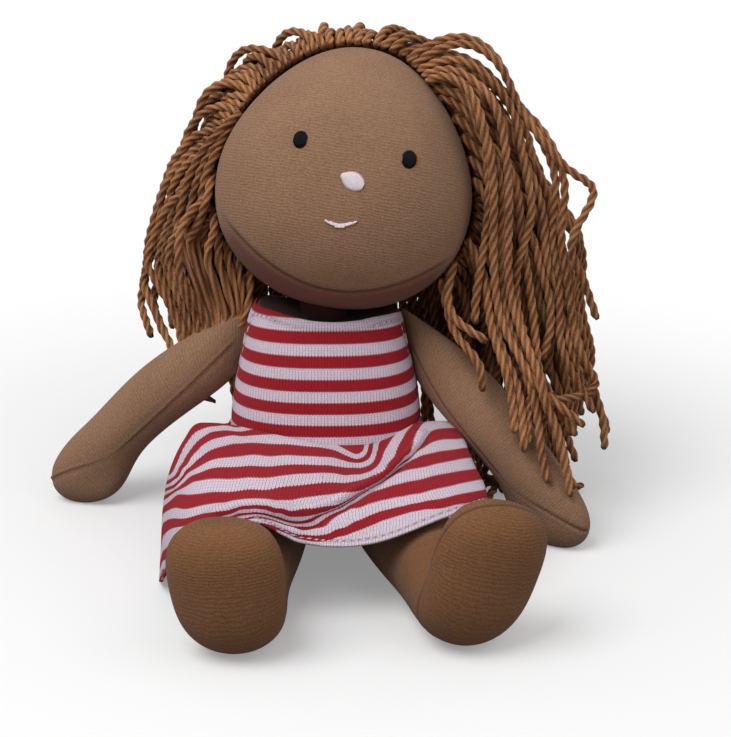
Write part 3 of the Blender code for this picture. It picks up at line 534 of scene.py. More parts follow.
head, share, angle = head_form("head_knit", 300, 150)
spots = points_of(head)
drop = spots[:, 2] - HEAD_RISE + CHIN_DROP - CHIN_CURVE * spots[:, 0] ** 2
slope = np.sqrt(1 + (2 * CHIN_CURVE * spots[:, 0]) ** 2)
front = smoothstep(14 * MM, 2 * MM, spots[:, 1]) * smoothstep(44 * MM, 36 * MM, np.abs(spots[:, 0]))
seam_gap = drop / slope
sew(head, np.where(front > 0.02, seam_gap, 1), 0.40 * MM, 0.55 * MM, 0.12 * MM, share=front)
# Below the chin seam the panel is painted redder, and darker as painted shade under the chin
paint(head, "under_chin_red_and_shade", smoothstep(1.5 * MM, -2.5 * MM, seam_gap) * front * 0.85)
settle(head, head_place, skin, "head", "head")
print("head", len(head.data.polygons), "faces")


# %% [markdown]
# The face is worked in thread: satin stitch for the eyes and nose, which is threads laid side by side
# over the shape, and a line of stem stitch for the smile. Each thread is a bevelled curve whose
# points are found by looking at the face from the front.

# %% Face
def tree_of(*pieces):
    """One search tree over several pieces' surfaces."""
    spots, faces = [], []
    for piece in pieces:
        count = len(spots)
        spots += [vertex.co.copy() for vertex in piece.data.vertices]
        faces += [tuple(count + corner for corner in face.vertices) for face in piece.data.polygons]
    return BVHTree.FromPolygons(spots, faces)


head_surface = tree_of(head)
head_centre = head_place @ head_middle
face_out = (head_turn @ -Y).normalized()
face_side = (head_turn @ X).normalized()
face_up = (head_turn @ Z).normalized()


def on_face(side, up, lift):
    start = head_centre + face_side * side + face_up * up + face_out * HEAD_DEPTH
    hit, normal, _, _ = head_surface.ray_cast(start, -face_out)
    return hit + normal * lift


def threads(name, routes, radius, material, body, *nodes, slot, resolution=2, twist=0):
    """Several threads as one piece: a bevelled curve for each, turned into a mesh."""
    line = bpy.data.curves.new(name, "CURVE")
    line.dimensions = "3D"
    line.bevel_depth = radius
    line.bevel_resolution = resolution
    line.use_fill_caps = True
    for route in routes:
        strand = line.splines.new("POLY")
        strand.points.add(len(route) - 1)
        for point, spot in zip(strand.points, route):
            point.co = (*spot, 1)
        strand.points[0].radius = 0.6
        strand.points[-1].radius = 0.6
    piece = bpy.data.objects.new(name, line)
    bpy.context.scene.collection.objects.link(piece)
    select_only(piece)
    bpy.ops.object.convert(target="MESH")
    piece = bpy.context.object
    bpy.ops.object.mode_set(mode="EDIT")
    bpy.ops.mesh.select_all(action="SELECT")
    bpy.ops.mesh.remove_doubles(threshold=0.00001)
    bpy.ops.mesh.normals_make_consistent(inside=False)
    bpy.ops.object.mode_set(mode="OBJECT")
    bpy.ops.object.shade_smooth()
    return settle(piece, Matrix.Identity(4), material, body, *nodes, slot=slot)


STITCH = 0.24 * MM
STITCH_APART = 0.40 * MM


def satin(name, side, up, width, height, tilt, material, node, slot, point=0.0):
    """Threads laid side by side over an oval. A point above 0 draws one end out into a leaf."""
    routes = []
    rows = int(width / STITCH_APART)
    for row in range(rows + 1):
        share = 2 * row / rows - 1
        half = height / 2 * (1 - abs(share) ** 2.2) ** 0.5 * (1 - point * max(-share, 0) ** 1.5)
        if half < STITCH:
            continue
        route = []
        for step in range(9):
            reach = 2 * step / 8 - 1
            across, along = share * width / 2, reach * half
            x = across * cos(tilt) - along * sin(tilt)
            y = across * sin(tilt) + along * cos(tilt)
            dome = 0.75 * MM * (1 - 0.55 * reach ** 2 - 0.35 * share ** 2)
            end = -0.35 * MM if abs(reach) == 1 else 0
            route.append(on_face(side + x, up + y, dome + end))
        routes.append(route)
    return threads(name, routes, STITCH, material, "head", node, slot=slot)


satin("left_eye_stitches", 19.2 * MM, 8.5 * MM, 5.4 * MM, 6.4 * MM, radians(4), black_thread, "left_eye", "black_thread")
satin("right_eye_stitches", -19.2 * MM, 8.5 * MM, 4.9 * MM, 6.2 * MM, radians(-4), black_thread, "right_eye", "black_thread")
satin("nose_stitches", 0.8 * MM, -2.5 * MM, 9.0 * MM, 6.6 * MM, radians(-18), white_thread, "nose", "pink_thread", 0.55)

MOUTH_HALF = 5.5 * MM
smile = []
for step in range(33):
    share = 2 * step / 32 - 1
    sag = 1.9 * MM * (share * share - 1)
    lift = 0.28 * MM + 0.12 * MM * cos(step * pi / 2)
    smile.append(on_face(-0.6 * MM + MOUTH_HALF * share, -16.6 * MM + sag + 0.75 * MM * share, lift))
second = [spot + face_up * 0.45 * MM for spot in smile[5:-5]]
third = [spot - face_up * 0.40 * MM for spot in smile[11:-11]]
threads("mouth_stitches", [smile, second, third], 0.36 * MM, white_thread, "head", "mouth", slot="pink_thread")
print("face stitched")


# %% [markdown]
# The body bag shows only at the armholes and under the skirt, and the neck only as a gap in painted shade.

# %% Body and neck
TORSO_HEIGHT, TORSO_WIDTH, TORSO_DEPTH, TORSO_LEAN = 86 * MM, 67 * MM, 53 * MM, 7 * MM
TORSO_UP_SHARES = (0.0, 0.02, 0.12, 0.31, 0.54, 0.75, 0.90, 0.98, 1.0)
TORSO_WIDE_SHARES = (0.66, 0.86, 0.99, 1.0, 0.97, 0.94, 0.90, 0.80, 0.64)
TORSO_DEEP_SHARES = (0.50, 0.68, 0.94, 1.0, 0.94, 0.84, 0.70, 0.54, 0.36)
TORSO_LEAN_SHARES = (0.55, 0.45, 0.10, 0.0, 0.25, 0.55, 0.85, 1.0, 1.0)
TORSO_SHRINK = 0.966
TORSO_SQUARENESS = 2.7
HOLLOW_CENTRE = Vector((0.0035, 0.0060, 0.0944))
HOLLOW_RADII = (35 * MM, 43 * MM, 17 * MM)
torso_table = [(0, TORSO_LEAN * lean, TORSO_HEIGHT * up - 0.7 * MM * (1 - up),
                TORSO_WIDTH / 2 * wide * TORSO_SHRINK, TORSO_DEPTH / 2 * deep * TORSO_SHRINK)
               for up, wide, deep, lean in zip(TORSO_UP_SHARES, TORSO_WIDE_SHARES,
                                               TORSO_DEEP_SHARES, TORSO_LEAN_SHARES)]

body, share, angle = stuff("body_knit", [row[:3] for row in torso_table],
                           [(row[3], 0, 0) for row in torso_table], [(0, row[4], 0) for row in torso_table],
                           160, 90, TORSO_SQUARENESS, (False, False))
spots = points_of(body)


def press_hollow(spots, clear=0.0):
    """The head presses a hollow into the shoulders: points inside it move straight down to its skin."""
    away = (spots - np.array(HOLLOW_CENTRE)) / (np.array(HOLLOW_RADII) + clear)
    flat = 1 - away[:, 0] ** 2 - away[:, 1] ** 2
    floor_z = HOLLOW_CENTRE.z - (HOLLOW_RADII[2] + clear) * np.sqrt(np.maximum(flat, 0))
    spots[:, 2] = np.where(flat > 0, np.minimum(spots[:, 2], floor_z), spots[:, 2])
    return spots


spots = press_hollow(spots)
spots[:, 2] = np.maximum(spots[:, 2], 0)
move_points(body, spots)
inside = (spots - np.array(HOLLOW_CENTRE)) / np.array(HOLLOW_RADII)
# The hollow round the head is painted dark: painted shade where the head keeps the light out
paint(body, "deep", smoothstep(1.06, 1.0, np.linalg.norm(inside, axis=1)))
settle(body, Matrix.Identity(4), skin, "torso", "torso")

NECK_RADIUS = 9.5 * MM
neck_rows = [sin(pi * step / 8) for step in range(9)]
neck, _, _ = stuff("neck_knit", [(0, 0, -NECK_RADIUS * cos(pi * step / 8)) for step in range(9)],
                   [(NECK_RADIUS * row, 0, 0) for row in neck_rows], [(0, NECK_RADIUS * row, 0) for row in neck_rows],
                   48, 24)
# The whole neck is painted dark: painted shade in the gap under the head
paint(neck, "deep", np.ones(len(neck.data.vertices)))
settle(neck, Matrix.Translation(NECK_CENTRE), skin, "neck", "neck")
print("body", len(body.data.polygons), "faces")


# %% [markdown]
# An arm is a flat sewn end, a stuffed tube and a mitten with a thumb. The two are one pattern: they
# differ in how they were put down. The seam along the front shows as a fine pinched line.

# %% Arms
ARM_LENGTH, ARM_DIAMETER = 102 * MM, 25.5 * MM
ARM_STEP_SHARES = (-0.011, 0.0, 0.05, 0.13, 0.26, 0.42, 0.58, 0.70, 0.80, 0.90, 0.97, 1.0)
ARM_UPRIGHT_SHARES = (0.94, 0.94, 1.00, 1.02, 1.02, 1.0, 0.93, 0.96, 1.06, 0.92, 0.60, 0.0)
ARM_THICK_SHARES = (0.05, 0.086, 0.30, 0.60, 0.90, 0.98, 0.92, 0.88, 0.80, 0.72, 0.46, 0.0)
ARM_BOW_SHARES = (0.0, 0.0, 0.01, 0.05, 0.12, 0.16, 0.12, 0.05, -0.01, -0.03, -0.03, -0.02)
ARM_SQUARE_TO_SHARE = 0.34
LIMB_SHRINK = 0.952
RIGHT_SHOULDER = Matrix(((0.99074, 0.08668, 0.10453, -0.0308), (-0.08716, 0.99619, 0.0, 0.00817),
                         (-0.10413, -0.00911, 0.99452, 0.06946), (0, 0, 0, 1)))
LEFT_SHOULDER = Matrix(((0.81466, 0.57043, -0.10453, 0.03081), (-0.57358, 0.81915, 0.0, 0.00817),
                        (0.08562, 0.05996, 0.99452, 0.06946), (0, 0, 0, 1)))
RIGHT_PITCH, LEFT_PITCH = radians(46.8), radians(45.9)


def arm(name, outward, pitch, place, node):
    ahead = Vector((outward * cos(pitch), 0, -sin(pitch)))
    square = Vector((outward * sin(pitch), 0, cos(pitch)))
    centres, thick, tall = [], [], []
    for step, high, deep, bow in zip(ARM_STEP_SHARES, ARM_UPRIGHT_SHARES, ARM_THICK_SHARES, ARM_BOW_SHARES):
        upright = Z.lerp(square, min(max(step, 0) / ARM_SQUARE_TO_SHARE, 1)).normalized()
        way = X * outward if step < 0 else ahead
        centres.append(way * (ARM_LENGTH * step) + square * (ARM_DIAMETER * bow))
        thick.append(Y * (ARM_DIAMETER / 2 * deep * LIMB_SHRINK))
        tall.append(upright * (ARM_DIAMETER / 2 * high * LIMB_SHRINK))
    piece, share, angle = stuff(name, centres, thick, tall, 120, 170, 2.0, (False, True))
    spots = points_of(piece)
    reach = spots @ np.array(ahead) / ARM_LENGTH
    over = spots @ np.array(square) / ARM_DIAMETER
    toward = -spots[:, 1] / ARM_DIAMETER
    # The thumb: a bulge under the wrist's front, with a crease between it and the palm
    thumb = np.exp(-((reach - 0.79) / 0.13) ** 2) * np.exp(-((over + 0.44) / 0.20) ** 2)
    spots = spots - np.outer(thumb, np.array(square)) * (ARM_DIAMETER * 0.11) - np.outer(thumb, (0, 1, 0)) * (ARM_DIAMETER * 0.08)
    move_points(piece, spots)
    line = over - 0.02 + 0.22 * (reach - 0.3) - 0.34 * smoothstep(0.62, 0.95, reach)
    near = np.where((toward > 0.02) & (reach > 0.02), line * ARM_DIAMETER, 1)
    fading = smoothstep(0.02, 0.06, reach) * (1 - 0.75 * smoothstep(0.58, 0.66, reach) * smoothstep(0.80, 0.72, reach))
    sew(piece, near, 0.40 * MM, 0.42 * MM, 0.12 * MM, reach * ARM_LENGTH / (2.4 * MM) * 2 * pi, fading)
    settle(piece, place, skin, node, node)
    # The hand lies on the floor, which presses it flat where they meet
    spots = points_of(piece)
    spots[:, 2] = np.maximum(spots[:, 2], 0)
    move_points(piece, spots)
    return piece


right_arm = arm("right_arm_knit", -1, RIGHT_PITCH, RIGHT_SHOULDER, "right_arm")
left_arm = arm("left_arm_knit", 1, LEFT_PITCH, LEFT_SHOULDER, "left_arm")
print("arms", len(right_arm.data.polygons), "faces each")


# %% [markdown]
# A leg runs from a flat seam to a foot that turns up at the heel. The sections turn with it: they
# stand across the thigh and shin, fan round the heel, and lie flat up to the toes.

# %% Legs
LEG_REACH, THIGH, LEG_SEAM = 104 * MM, 33 * MM, 18 * MM
SEAM_THICK = 2.2 * MM
FOOT_HEIGHT, FOOT_WIDTH, FOOT_DEPTH = 52 * MM, 39.5 * MM, 26.5 * MM
INSTEP, HEEL_WALL, HIP_UP = 30 * MM, 2.5 * MM, 9.5 * MM
LEG_STEP_SHARES = (0.0, 0.055, 0.15, 0.30, 0.46, 0.60)
LEG_WIDE_SHARES = (0.55, 0.66, 0.90, 1.0, 0.97, 0.90)
LEG_HIGH_SHARES = (0.067, 0.36, 0.76, 0.98, 0.96, 0.92)
LEG_RISE_SHARES = (0.0, 0.05, 0.18, 0.25, 0.23, 0.21)
HEEL_TURN_SHARES = (0.18, 0.42, 0.68, 1.0)
HEEL_REACH_SHARES = (1.02, 1.10, 1.06, 0.98)
HEEL_WIDE_SHARES = (0.86, 0.92, 0.98, 1.02)
TOE_UP_SHARES = (0.40, 0.72, 0.93, 1.0)
TOE_WIDE_SHARES = (1.02, 0.90, 0.55, 0.0)
TOE_DEEP_SHARES = (1.0, 0.88, 0.56, 0.0)
LEFT_HIP = Matrix(((0.95106, -0.3089, 0.00868, 0.01724), (0.30902, 0.95068, -0.0267, -0.02012),
                   (0.0, 0.02808, 0.99961, 0.00875), (0, 0, 0, 1)))
RIGHT_HIP = Matrix(((0.95106, 0.3089, -0.00858, -0.01724), (-0.30902, 0.95069, -0.0264, -0.02011),
                    (0.0, 0.02775, 0.99961, 0.00875), (0, 0, 0, 1)))


def leg(name, bend, roll, seam_back, tall, place, node):
    ankle = LEG_REACH - FOOT_DEPTH
    centres = [Y * (SEAM_THICK / 2)]
    wide = [X * (LEG_SEAM / 2)]
    high = [Z * (SEAM_THICK / 2 * 0.6)]
    for step, w, h, rise in zip(LEG_STEP_SHARES, LEG_WIDE_SHARES, LEG_HIGH_SHARES, LEG_RISE_SHARES):
        centres.append(Vector((0, -LEG_REACH * step, THIGH * rise)))
        wide.append(X * (THIGH / 2 * w))
        high.append(Z * (THIGH / 2 * h))
    corner = Vector((0, -ankle, INSTEP - HIP_UP))
    for turn, reach, w in zip(HEEL_TURN_SHARES, HEEL_REACH_SHARES, HEEL_WIDE_SHARES):
        outward = Vector((0, -sin(turn * pi / 2), -cos(turn * pi / 2)))
        far = (INSTEP + (FOOT_DEPTH - INSTEP) * turn) * reach
        centres.append(corner + outward * ((far + HEEL_WALL) / 2))
        wide.append(X * (FOOT_WIDTH / 2 * w))
        high.append(-outward * ((far - HEEL_WALL) / 2))
    middle = corner + Vector((0, -(FOOT_DEPTH + HEEL_WALL) / 2, 0))
    for up, w, d in zip(TOE_UP_SHARES, TOE_WIDE_SHARES, TOE_DEEP_SHARES):
        centres.append(middle + Z * ((FOOT_HEIGHT - INSTEP) * up))
        wide.append(X * (FOOT_WIDTH / 2 * w))
        high.append(Y * ((FOOT_DEPTH - HEEL_WALL) / 2 * d))
    wide = [part * LIMB_SHRINK for part in wide]
    high = [part * LIMB_SHRINK for part in high]
    piece, share, angle = stuff(name, centres, wide, high, 120, 190, 2.0, (False, True))
    # The sole's seam runs down both sides of the foot and round its toes
    spots = points_of(piece)
    sole = (spots[:, 1] + LEG_REACH - FOOT_DEPTH * seam_back) + 0.22 * (spots[:, 2] - INSTEP * 0.5)
    low = smoothstep(-ankle * 0.55, -ankle * 0.9, spots[:, 1])
    sew(piece, np.where(low > 0.2, sole, 1), 0.40 * MM, 0.55 * MM, 0.15 * MM,
        spots[:, 2] / (2.4 * MM) * 2 * pi, low)
    # Painted shade on the foot, darker towards the sole, where the lamps reach less
    paint(piece, "painted_foot_shade", low)
    spots = points_of(piece)
    spots[:, 2] = (spots[:, 2] + HIP_UP) * (1 + (tall - 1) * low) - HIP_UP
    heel = np.array((0, 0, FOOT_WIDTH / 2 - HIP_UP))
    knee = LEG_REACH * LEG_STEP_SHARES[-2]
    rolled = roll * np.clip((-spots[:, 1] - knee) / (ankle - knee), 0, 1)
    bent = bend * np.clip(-spots[:, 1] / (LEG_REACH * LEG_STEP_SHARES[2]), 0, 1)
    x, z = spots[:, 0].copy(), spots[:, 2] - heel[2]
    spots[:, 0] = x * np.cos(rolled) + z * np.sin(rolled)
    spots[:, 2] = -x * np.sin(rolled) + z * np.cos(rolled) + heel[2]
    x, y = spots[:, 0].copy(), spots[:, 1].copy()
    spots[:, 0] = x * np.cos(bent) - y * np.sin(bent)
    spots[:, 1] = x * np.sin(bent) + y * np.cos(bent)
    move_points(piece, spots)
    settle(piece, place, skin, node, node)
    spots = points_of(piece)
    spots[:, 2] = np.maximum(spots[:, 2], 0)
    move_points(piece, spots)
    return piece


left_leg = leg("left_leg_knit", radians(21 - 18), radians(16), 0.60, 1.10, LEFT_HIP, "left_leg")
right_leg = leg("right_leg_knit", radians(-7 + 18), radians(-4), 0.86, 1.03, RIGHT_HIP, "right_leg")
print("legs", len(left_leg.data.polygons), "faces each")


# %% [markdown]
# The dress is one tube of striped jersey with no waist seam. Above the waist it lies on the body,
# with a neckline and armholes cut and topstitched. It starts as a grid primitive whose columns run
# round the body and whose rows run down it. Faces that fall in a hole are deleted, and the points
# left on the hole's edge are moved exactly onto its line.

# %% Bodice
CLOTH = 0.8 * MM
CLOTH_CLEAR = 0.5 * MM
WAIST_UP = 38 * MM
BODICE_COLUMNS, BODICE_ROWS = 260, 60
SHOULDER_PLACE = (30.8 * MM, 8.2 * MM, 69.5 * MM)
ARMHOLE_HALF = (8.6 * MM, 13.0 * MM)


def body_section(height):
    """Centre and half sizes of the body bag at a height, read from its own table."""
    rows = along_table(torso_table, np.linspace(0, 1, 400))
    order = np.argsort(rows[:, 2])
    return [np.interp(height, rows[order, 2], rows[order, column]) for column in (1, 3, 4)]


WAIST_SLACK = 3.0 * MM


def dress_spot(bearing, height):
    """A point of the dress over the body bag. It lies close at the chest and hangs loose at the waist."""
    middle, half_wide, half_deep = body_section(height)
    x, y = superellipse(bearing, TORSO_SQUARENESS)
    slack = CLOTH_CLEAR + WAIST_SLACK * smoothstep(74 * MM, 42 * MM, height) * np.abs(np.cos(bearing))
    return np.stack([x * (half_wide + slack), y * (half_deep + CLOTH_CLEAR) + middle, height], axis=-1)


def bearing_at(share):
    """Bearings at even lengths of cloth round the waist, from the middle of the back through the front."""
    turns = np.linspace(-3 * pi / 2, pi / 2, 1441)
    ring = dress_spot(turns, np.full_like(turns, WAIST_UP))
    along = np.concatenate([[0], np.cumsum(np.linalg.norm(np.diff(ring, axis=0), axis=1))])
    return np.interp(share, along / along[-1], turns)


def cloth_grid(name, columns, rows):
    bpy.ops.object.select_all(action="DESELECT")
    bpy.ops.mesh.primitive_grid_add(x_subdivisions=columns, y_subdivisions=rows, size=2)
    piece = bpy.context.object
    piece.name = piece.data.name = name
    spots = points_of(piece)
    return piece, (spots[:, 0] + 1) / 2, (1 - spots[:, 1]) / 2


def cloth_lengths(spots, across, down):
    """How far each point lies along the cloth: down its column, and sideways from the middle column."""
    order = np.lexsort((across.round(5), down.round(5)))
    rows = len(np.unique(down.round(5)))
    grid = spots[order].reshape(rows, -1, 3)
    fall = np.zeros(grid.shape[:2])
    fall[1:] = np.cumsum(np.linalg.norm(np.diff(grid, axis=0), axis=2), axis=0)
    side = np.zeros(grid.shape[:2])
    side[:, 1:] = np.cumsum(np.linalg.norm(np.diff(grid, axis=1), axis=2), axis=1)
    side -= side[:, side.shape[1] // 2][:, None]
    fall_back, side_back = np.empty(len(spots)), np.empty(len(spots))
    fall_back[order], side_back[order] = fall.ravel(), side.ravel()
    return fall_back, side_back, fall[-1].mean()


def lay_flat(piece, flat_x, flat_y):
    """The piece's UV map, in metres along the cloth."""
    corners = np.empty(len(piece.data.loops), dtype=int)
    piece.data.loops.foreach_get("vertex_index", corners)
    layer = piece.data.uv_layers[0]
    layer.uv.foreach_set("vector", np.stack([flat_x[corners], flat_y[corners]], axis=1).ravel())


BODICE_TOP = 85.6 * MM
NECK_EDGE_UP = 3.3 * MM            # in front, where the cloth stands up
STITCH_IN, STITCH_WIDE = 2.6 * MM, 0.55 * MM
BODICE_BAND = 1.35 * MM           # how far above the waist the lowest white band's middle lies
GIRTH = 190 * MM


def bodice_spot(across, down):
    height = BODICE_TOP + (WAIST_UP - BODICE_TOP) * down
    return dress_spot(bearing_at(across), height)


def opening(spots):
    """Above 0 on the cloth, and below 0 where the neckline or an armhole is cut."""
    away = spots - np.array(HOLLOW_CENTRE)
    away[:, 2] -= NECK_EDGE_UP * smoothstep(4 * MM, -8 * MM, spots[:, 1])
    away = away / (np.array(HOLLOW_RADII) + 0.9 * MM)
    neckline = (np.linalg.norm(away, axis=1) - 1) * HOLLOW_RADII[2]
    result = neckline
    for outward in (-1, 1):
        across = (spots[:, 1] - SHOULDER_PLACE[1]) / ARMHOLE_HALF[0]
        upright = (spots[:, 2] - SHOULDER_PLACE[2]) / ARMHOLE_HALF[1]
        hole = ((np.abs(across) ** 2.6 + np.abs(upright) ** 2.6) ** (1 / 2.6) - 1) * ARMHOLE_HALF[0]
        hole = np.where(spots[:, 0] * outward > SHOULDER_PLACE[0] - 9 * MM, hole, 1)
        result = np.minimum(result, hole)
    return result


bodice, across, down = cloth_grid("bodice_jersey", BODICE_COLUMNS, BODICE_ROWS)
spots = bodice_spot(across, down)
kept = opening(spots) > 0
faces = np.array([face.vertices for face in bodice.data.polygons])
lost = ~kept[faces].any(axis=1)
half_lost = (~kept[faces]).any(axis=1) & ~lost
edge = np.zeros(len(spots), dtype=bool)
edge[faces[half_lost].ravel()] = True
edge &= ~kept
for _ in range(4):
    here = opening(bodice_spot(across, down))
    step_a, step_d = 0.0005, 0.002
    slope_a = (opening(bodice_spot(across + step_a, down)) - here) / step_a
    slope_d = (opening(bodice_spot(across, down + step_d)) - here) / step_d
    size = (slope_a / BODICE_COLUMNS) ** 2 + (slope_d / BODICE_ROWS) ** 2 + 1e-12
    move_a = np.clip(-here * slope_a / BODICE_COLUMNS ** 2 / size, -1 / BODICE_COLUMNS, 1 / BODICE_COLUMNS)
    move_d = np.clip(-here * slope_d / BODICE_ROWS ** 2 / size, -1 / BODICE_ROWS, 1 / BODICE_ROWS)
    across = np.where(edge, across + move_a, across)
    down = np.where(edge, down + move_d, down)
spots = bodice_spot(across, down)
move_points(bodice, spots)
BODICE_FLAT = BODICE_TOP - WAIST_UP
lay_flat(bodice, (across - 0.5) * GIRTH, (down - 1) * BODICE_FLAT * 1.04 + BODICE_BAND)
by_armhole = smoothstep(15 * MM, 19 * MM, np.abs(spots[:, 0]))
paint(bodice, "topstitch", np.exp(-((opening(spots) - STITCH_IN) / STITCH_WIDE) ** 2) * (0.45 + 0.55 * by_armhole))


def cut_away(piece, faces):
    """Deletes some faces of a piece, and the points that only they used."""
    select_only(piece)
    bpy.ops.object.mode_set(mode="EDIT")
    bpy.ops.mesh.select_mode(type="FACE")
    bpy.ops.mesh.select_all(action="DESELECT")
    bpy.ops.object.mode_set(mode="OBJECT")
    piece.data.polygons.foreach_set("select", faces)
    bpy.ops.object.mode_set(mode="EDIT")
    bpy.ops.mesh.delete(type="FACE")
    bpy.ops.mesh.select_mode(type="VERT")
    bpy.ops.object.mode_set(mode="OBJECT")


cut_away(bodice, lost)
select_only(bodice)
bpy.ops.object.mode_set(mode="EDIT")
bpy.ops.mesh.select_all(action="SELECT")
bpy.ops.mesh.remove_doubles(threshold=0.00002)
bpy.ops.mesh.normals_make_consistent(inside=False)
bpy.ops.object.mode_set(mode="OBJECT")
bpy.ops.object.shade_smooth()


def thicken(piece, offset=1):
    """Gives a sheet its thickness and applies it."""
    wall = piece.modifiers.new("wall", "SOLIDIFY")
    wall.thickness = CLOTH
    wall.offset = offset
    select_only(piece)
    bpy.ops.object.modifier_apply(modifier=wall.name)


thicken(bodice)
settle(bodice, Matrix.Identity(4), jersey, "torso", "bodice_front", "bodice_back", slot="dress_jersey")
print("bodice", len(bodice.data.polygons), "faces")


# %% [markdown]
# Below the waist the dress spreads over the thighs in front and falls round the seat behind. In
# front it stands like a low box, with a soft roll of cloth at the waist. Such a shape is quickest
# made as a sheet of cloth through a few guide points: where the roll, the lap, the hem and the
# outline lie. The guides are in millimetres, in rows from the waist to the hem, and each row runs
# from the doll's right to its left.

# %% Guides for the skirt
SKIRT_CLEAR = 1.6 * MM
FALL_POWER = 1.05
BACK_FLARE = 17 * MM
GUIDE_ROWS_AT = (0, 0.08, 0.17, 0.36, 0.57, 0.78, 1)
GUIDES = (
    ((-46.5, -3, 38.3), (-35, -12, 41), (-15, -26, 42), (-2, -32, 41), (14, -33, 36.5), (30, -13, 41), (46.5, -7, 40.5)),
    ((-52, -12, 35.5), (-38, -21, 41), (-17, -36, 41.5), (-2, -40, 40.5), (14, -39, 36), (32, -22, 41.5), (49, -14, 39.5)),
    ((-56.5, -24, 28), (-42, -40, 39), (-19, -52, 41), (-2, -53, 39.5), (15, -52, 37), (34, -38, 41), (51, -26, 38)),
    ((-58, -36, 19), (-45, -56, 35), (-21, -66, 40.5), (-3, -66, 38.5), (16, -64, 37), (37, -52, 40), (53, -38, 36)),
    ((-57.5, -50, 10), (-46.5, -70, 29.5), (-23, -78, 39.5), (-4, -78, 36), (17, -76, 34), (39, -66, 38), (55.5, -49, 34)),
    ((-57, -62, 2), (-46, -82, 24), (-24, -88, 38), (-5, -88, 29.5), (17, -86, 28.5), (41, -78, 34), (56.5, -60, 32)),
)


def waist_spot(share):
    return dress_spot(bearing_at(share), np.full_like(share, WAIST_UP))


def skirt_back(across, down):
    top = waist_spot((0.75 + 0.5 * across) % 1)
    bearing = pi * across
    fold = 2.6 * MM * np.sin(across * pi * 10) * down * np.sin(bearing)
    out = BACK_FLARE * down ** 0.9 + fold
    fall = (WAIST_UP - SKIRT_CLEAR) * down ** FALL_POWER
    return top + np.stack([np.cos(bearing) * out, np.sin(bearing) * out, -fall], axis=-1)


def guide_grid():
    """The guides with the waist above them and the side seams and their neighbours beside them."""
    rows = np.array(GUIDE_ROWS_AT)
    right, left = skirt_back(np.ones(len(rows)), rows), skirt_back(np.zeros(len(rows)), rows)
    grid = np.zeros((len(rows), 11, 3))
    grid[:, 0], grid[:, -1] = right, left
    grid[1:, 2:-2] = np.array(GUIDES) * MM
    for side, column, near in ((-1, 1, 2), (1, 9, 8)):
        seam = grid[:, 0 if side < 0 else -1]
        grid[:, column] = (seam + grid[:, near]) / 2 + (side * 2.5 * MM, 0, 0)
    grid[0] = waist_spot(0.25 + 0.5 * np.linspace(0, 1, 11))
    return grid


def through_guides(grid, across, down):
    """A smooth surface through a grid of guide points."""
    grid = np.concatenate([2 * grid[:1] - grid[1:2], grid, 2 * grid[-1:] - grid[-2:-1]])
    grid = np.concatenate([2 * grid[:, :1] - grid[:, 1:2], grid, 2 * grid[:, -1:] - grid[:, -2:-1]], axis=1)
    row = np.interp(down, GUIDE_ROWS_AT, np.arange(len(GUIDE_ROWS_AT)))
    column = across * (grid.shape[1] - 3)
    r = np.minimum(row.astype(int), len(GUIDE_ROWS_AT) - 2)
    c = np.minimum(column.astype(int), grid.shape[1] - 4)
    result = 0
    for i, one in enumerate(through_weights(row - r)):
        for j, two in enumerate(through_weights(column - c)):
            result = result + (one * two)[:, None] * grid[r + i, c + j]
    return result


def through_weights(t):
    return (-0.5 * t + t ** 2 - 0.5 * t ** 3, 1 - 2.5 * t ** 2 + 1.5 * t ** 3,
            0.5 * t + 2 * t ** 2 - 1.5 * t ** 3, -0.5 * t ** 2 + 0.5 * t ** 3)


print("guide rows", len(GUIDES), "of", len(GUIDES[0]))

# %% [markdown]
# The folds and the run of the stripes over the lap were traced as places in the picture. The
# camera's own geometry says which point of the sheet shows at such a place. From there on a fold is
# a line on the cloth, with a roll on its upper side and a dip on its lower side.

# %% Folds traced in the picture
PICTURE_MIDDLE = (365.5, 368.5)
view_ahead = Vector((0, cos(LOOK_DOWN), -sin(LOOK_DOWN)))
view_up = Vector((0, sin(LOOK_DOWN), cos(LOOK_DOWN)))
# Each fold: its height and half width in millimetres, and its places in the picture
FOLDS = (
    (2.6, 2.2, ((407, 457), (398, 465), (385, 476), (372, 486), (360, 493), (347, 501), (335, 507), (322, 513),
                (308, 517), (295, 518), (280, 515), (265, 511), (250, 510), (238, 511), (228, 515), (215, 520))),
    (1.3, 1.3, ((318, 521), (300, 524), (285, 521), (270, 516), (252, 514), (240, 516))),
    (1.1, 1.4, ((300, 536), (288, 530), (274, 524), (262, 521), (252, 520))),
    (1.6, 2.2, ((425, 433), (419, 444), (411, 453), (404, 461))),
    (1.2, 2.4, ((172, 495), (178, 483), (186, 472), (194, 463), (203, 456))),
)


def in_picture(spots):
    """Where points show in the picture, in its pixels, and how far off they are."""
    away = spots - np.array(CAMERA_PLACE)
    deep = away @ np.array(view_ahead)
    return np.stack([PICTURE_MIDDLE[0] + FOCAL_PIXELS * away[:, 0] / deep,
                     PICTURE_MIDDLE[1] - FOCAL_PIXELS * (away @ np.array(view_up)) / deep], axis=1), deep


def shown_at(spots, places):
    """For each place in the picture, the nearest of the points that show there."""
    seen, deep = in_picture(spots)
    found = []
    for place in places:
        away = np.hypot(seen[:, 0] - place[0], seen[:, 1] - place[1])
        close = np.nonzero(away < max(3.0, away.min() + 1.5))[0]
        close = close[deep[close] < deep[close].min() + 5 * MM]
        found.append(close[np.argmin(away[close])])
    return np.array(found)


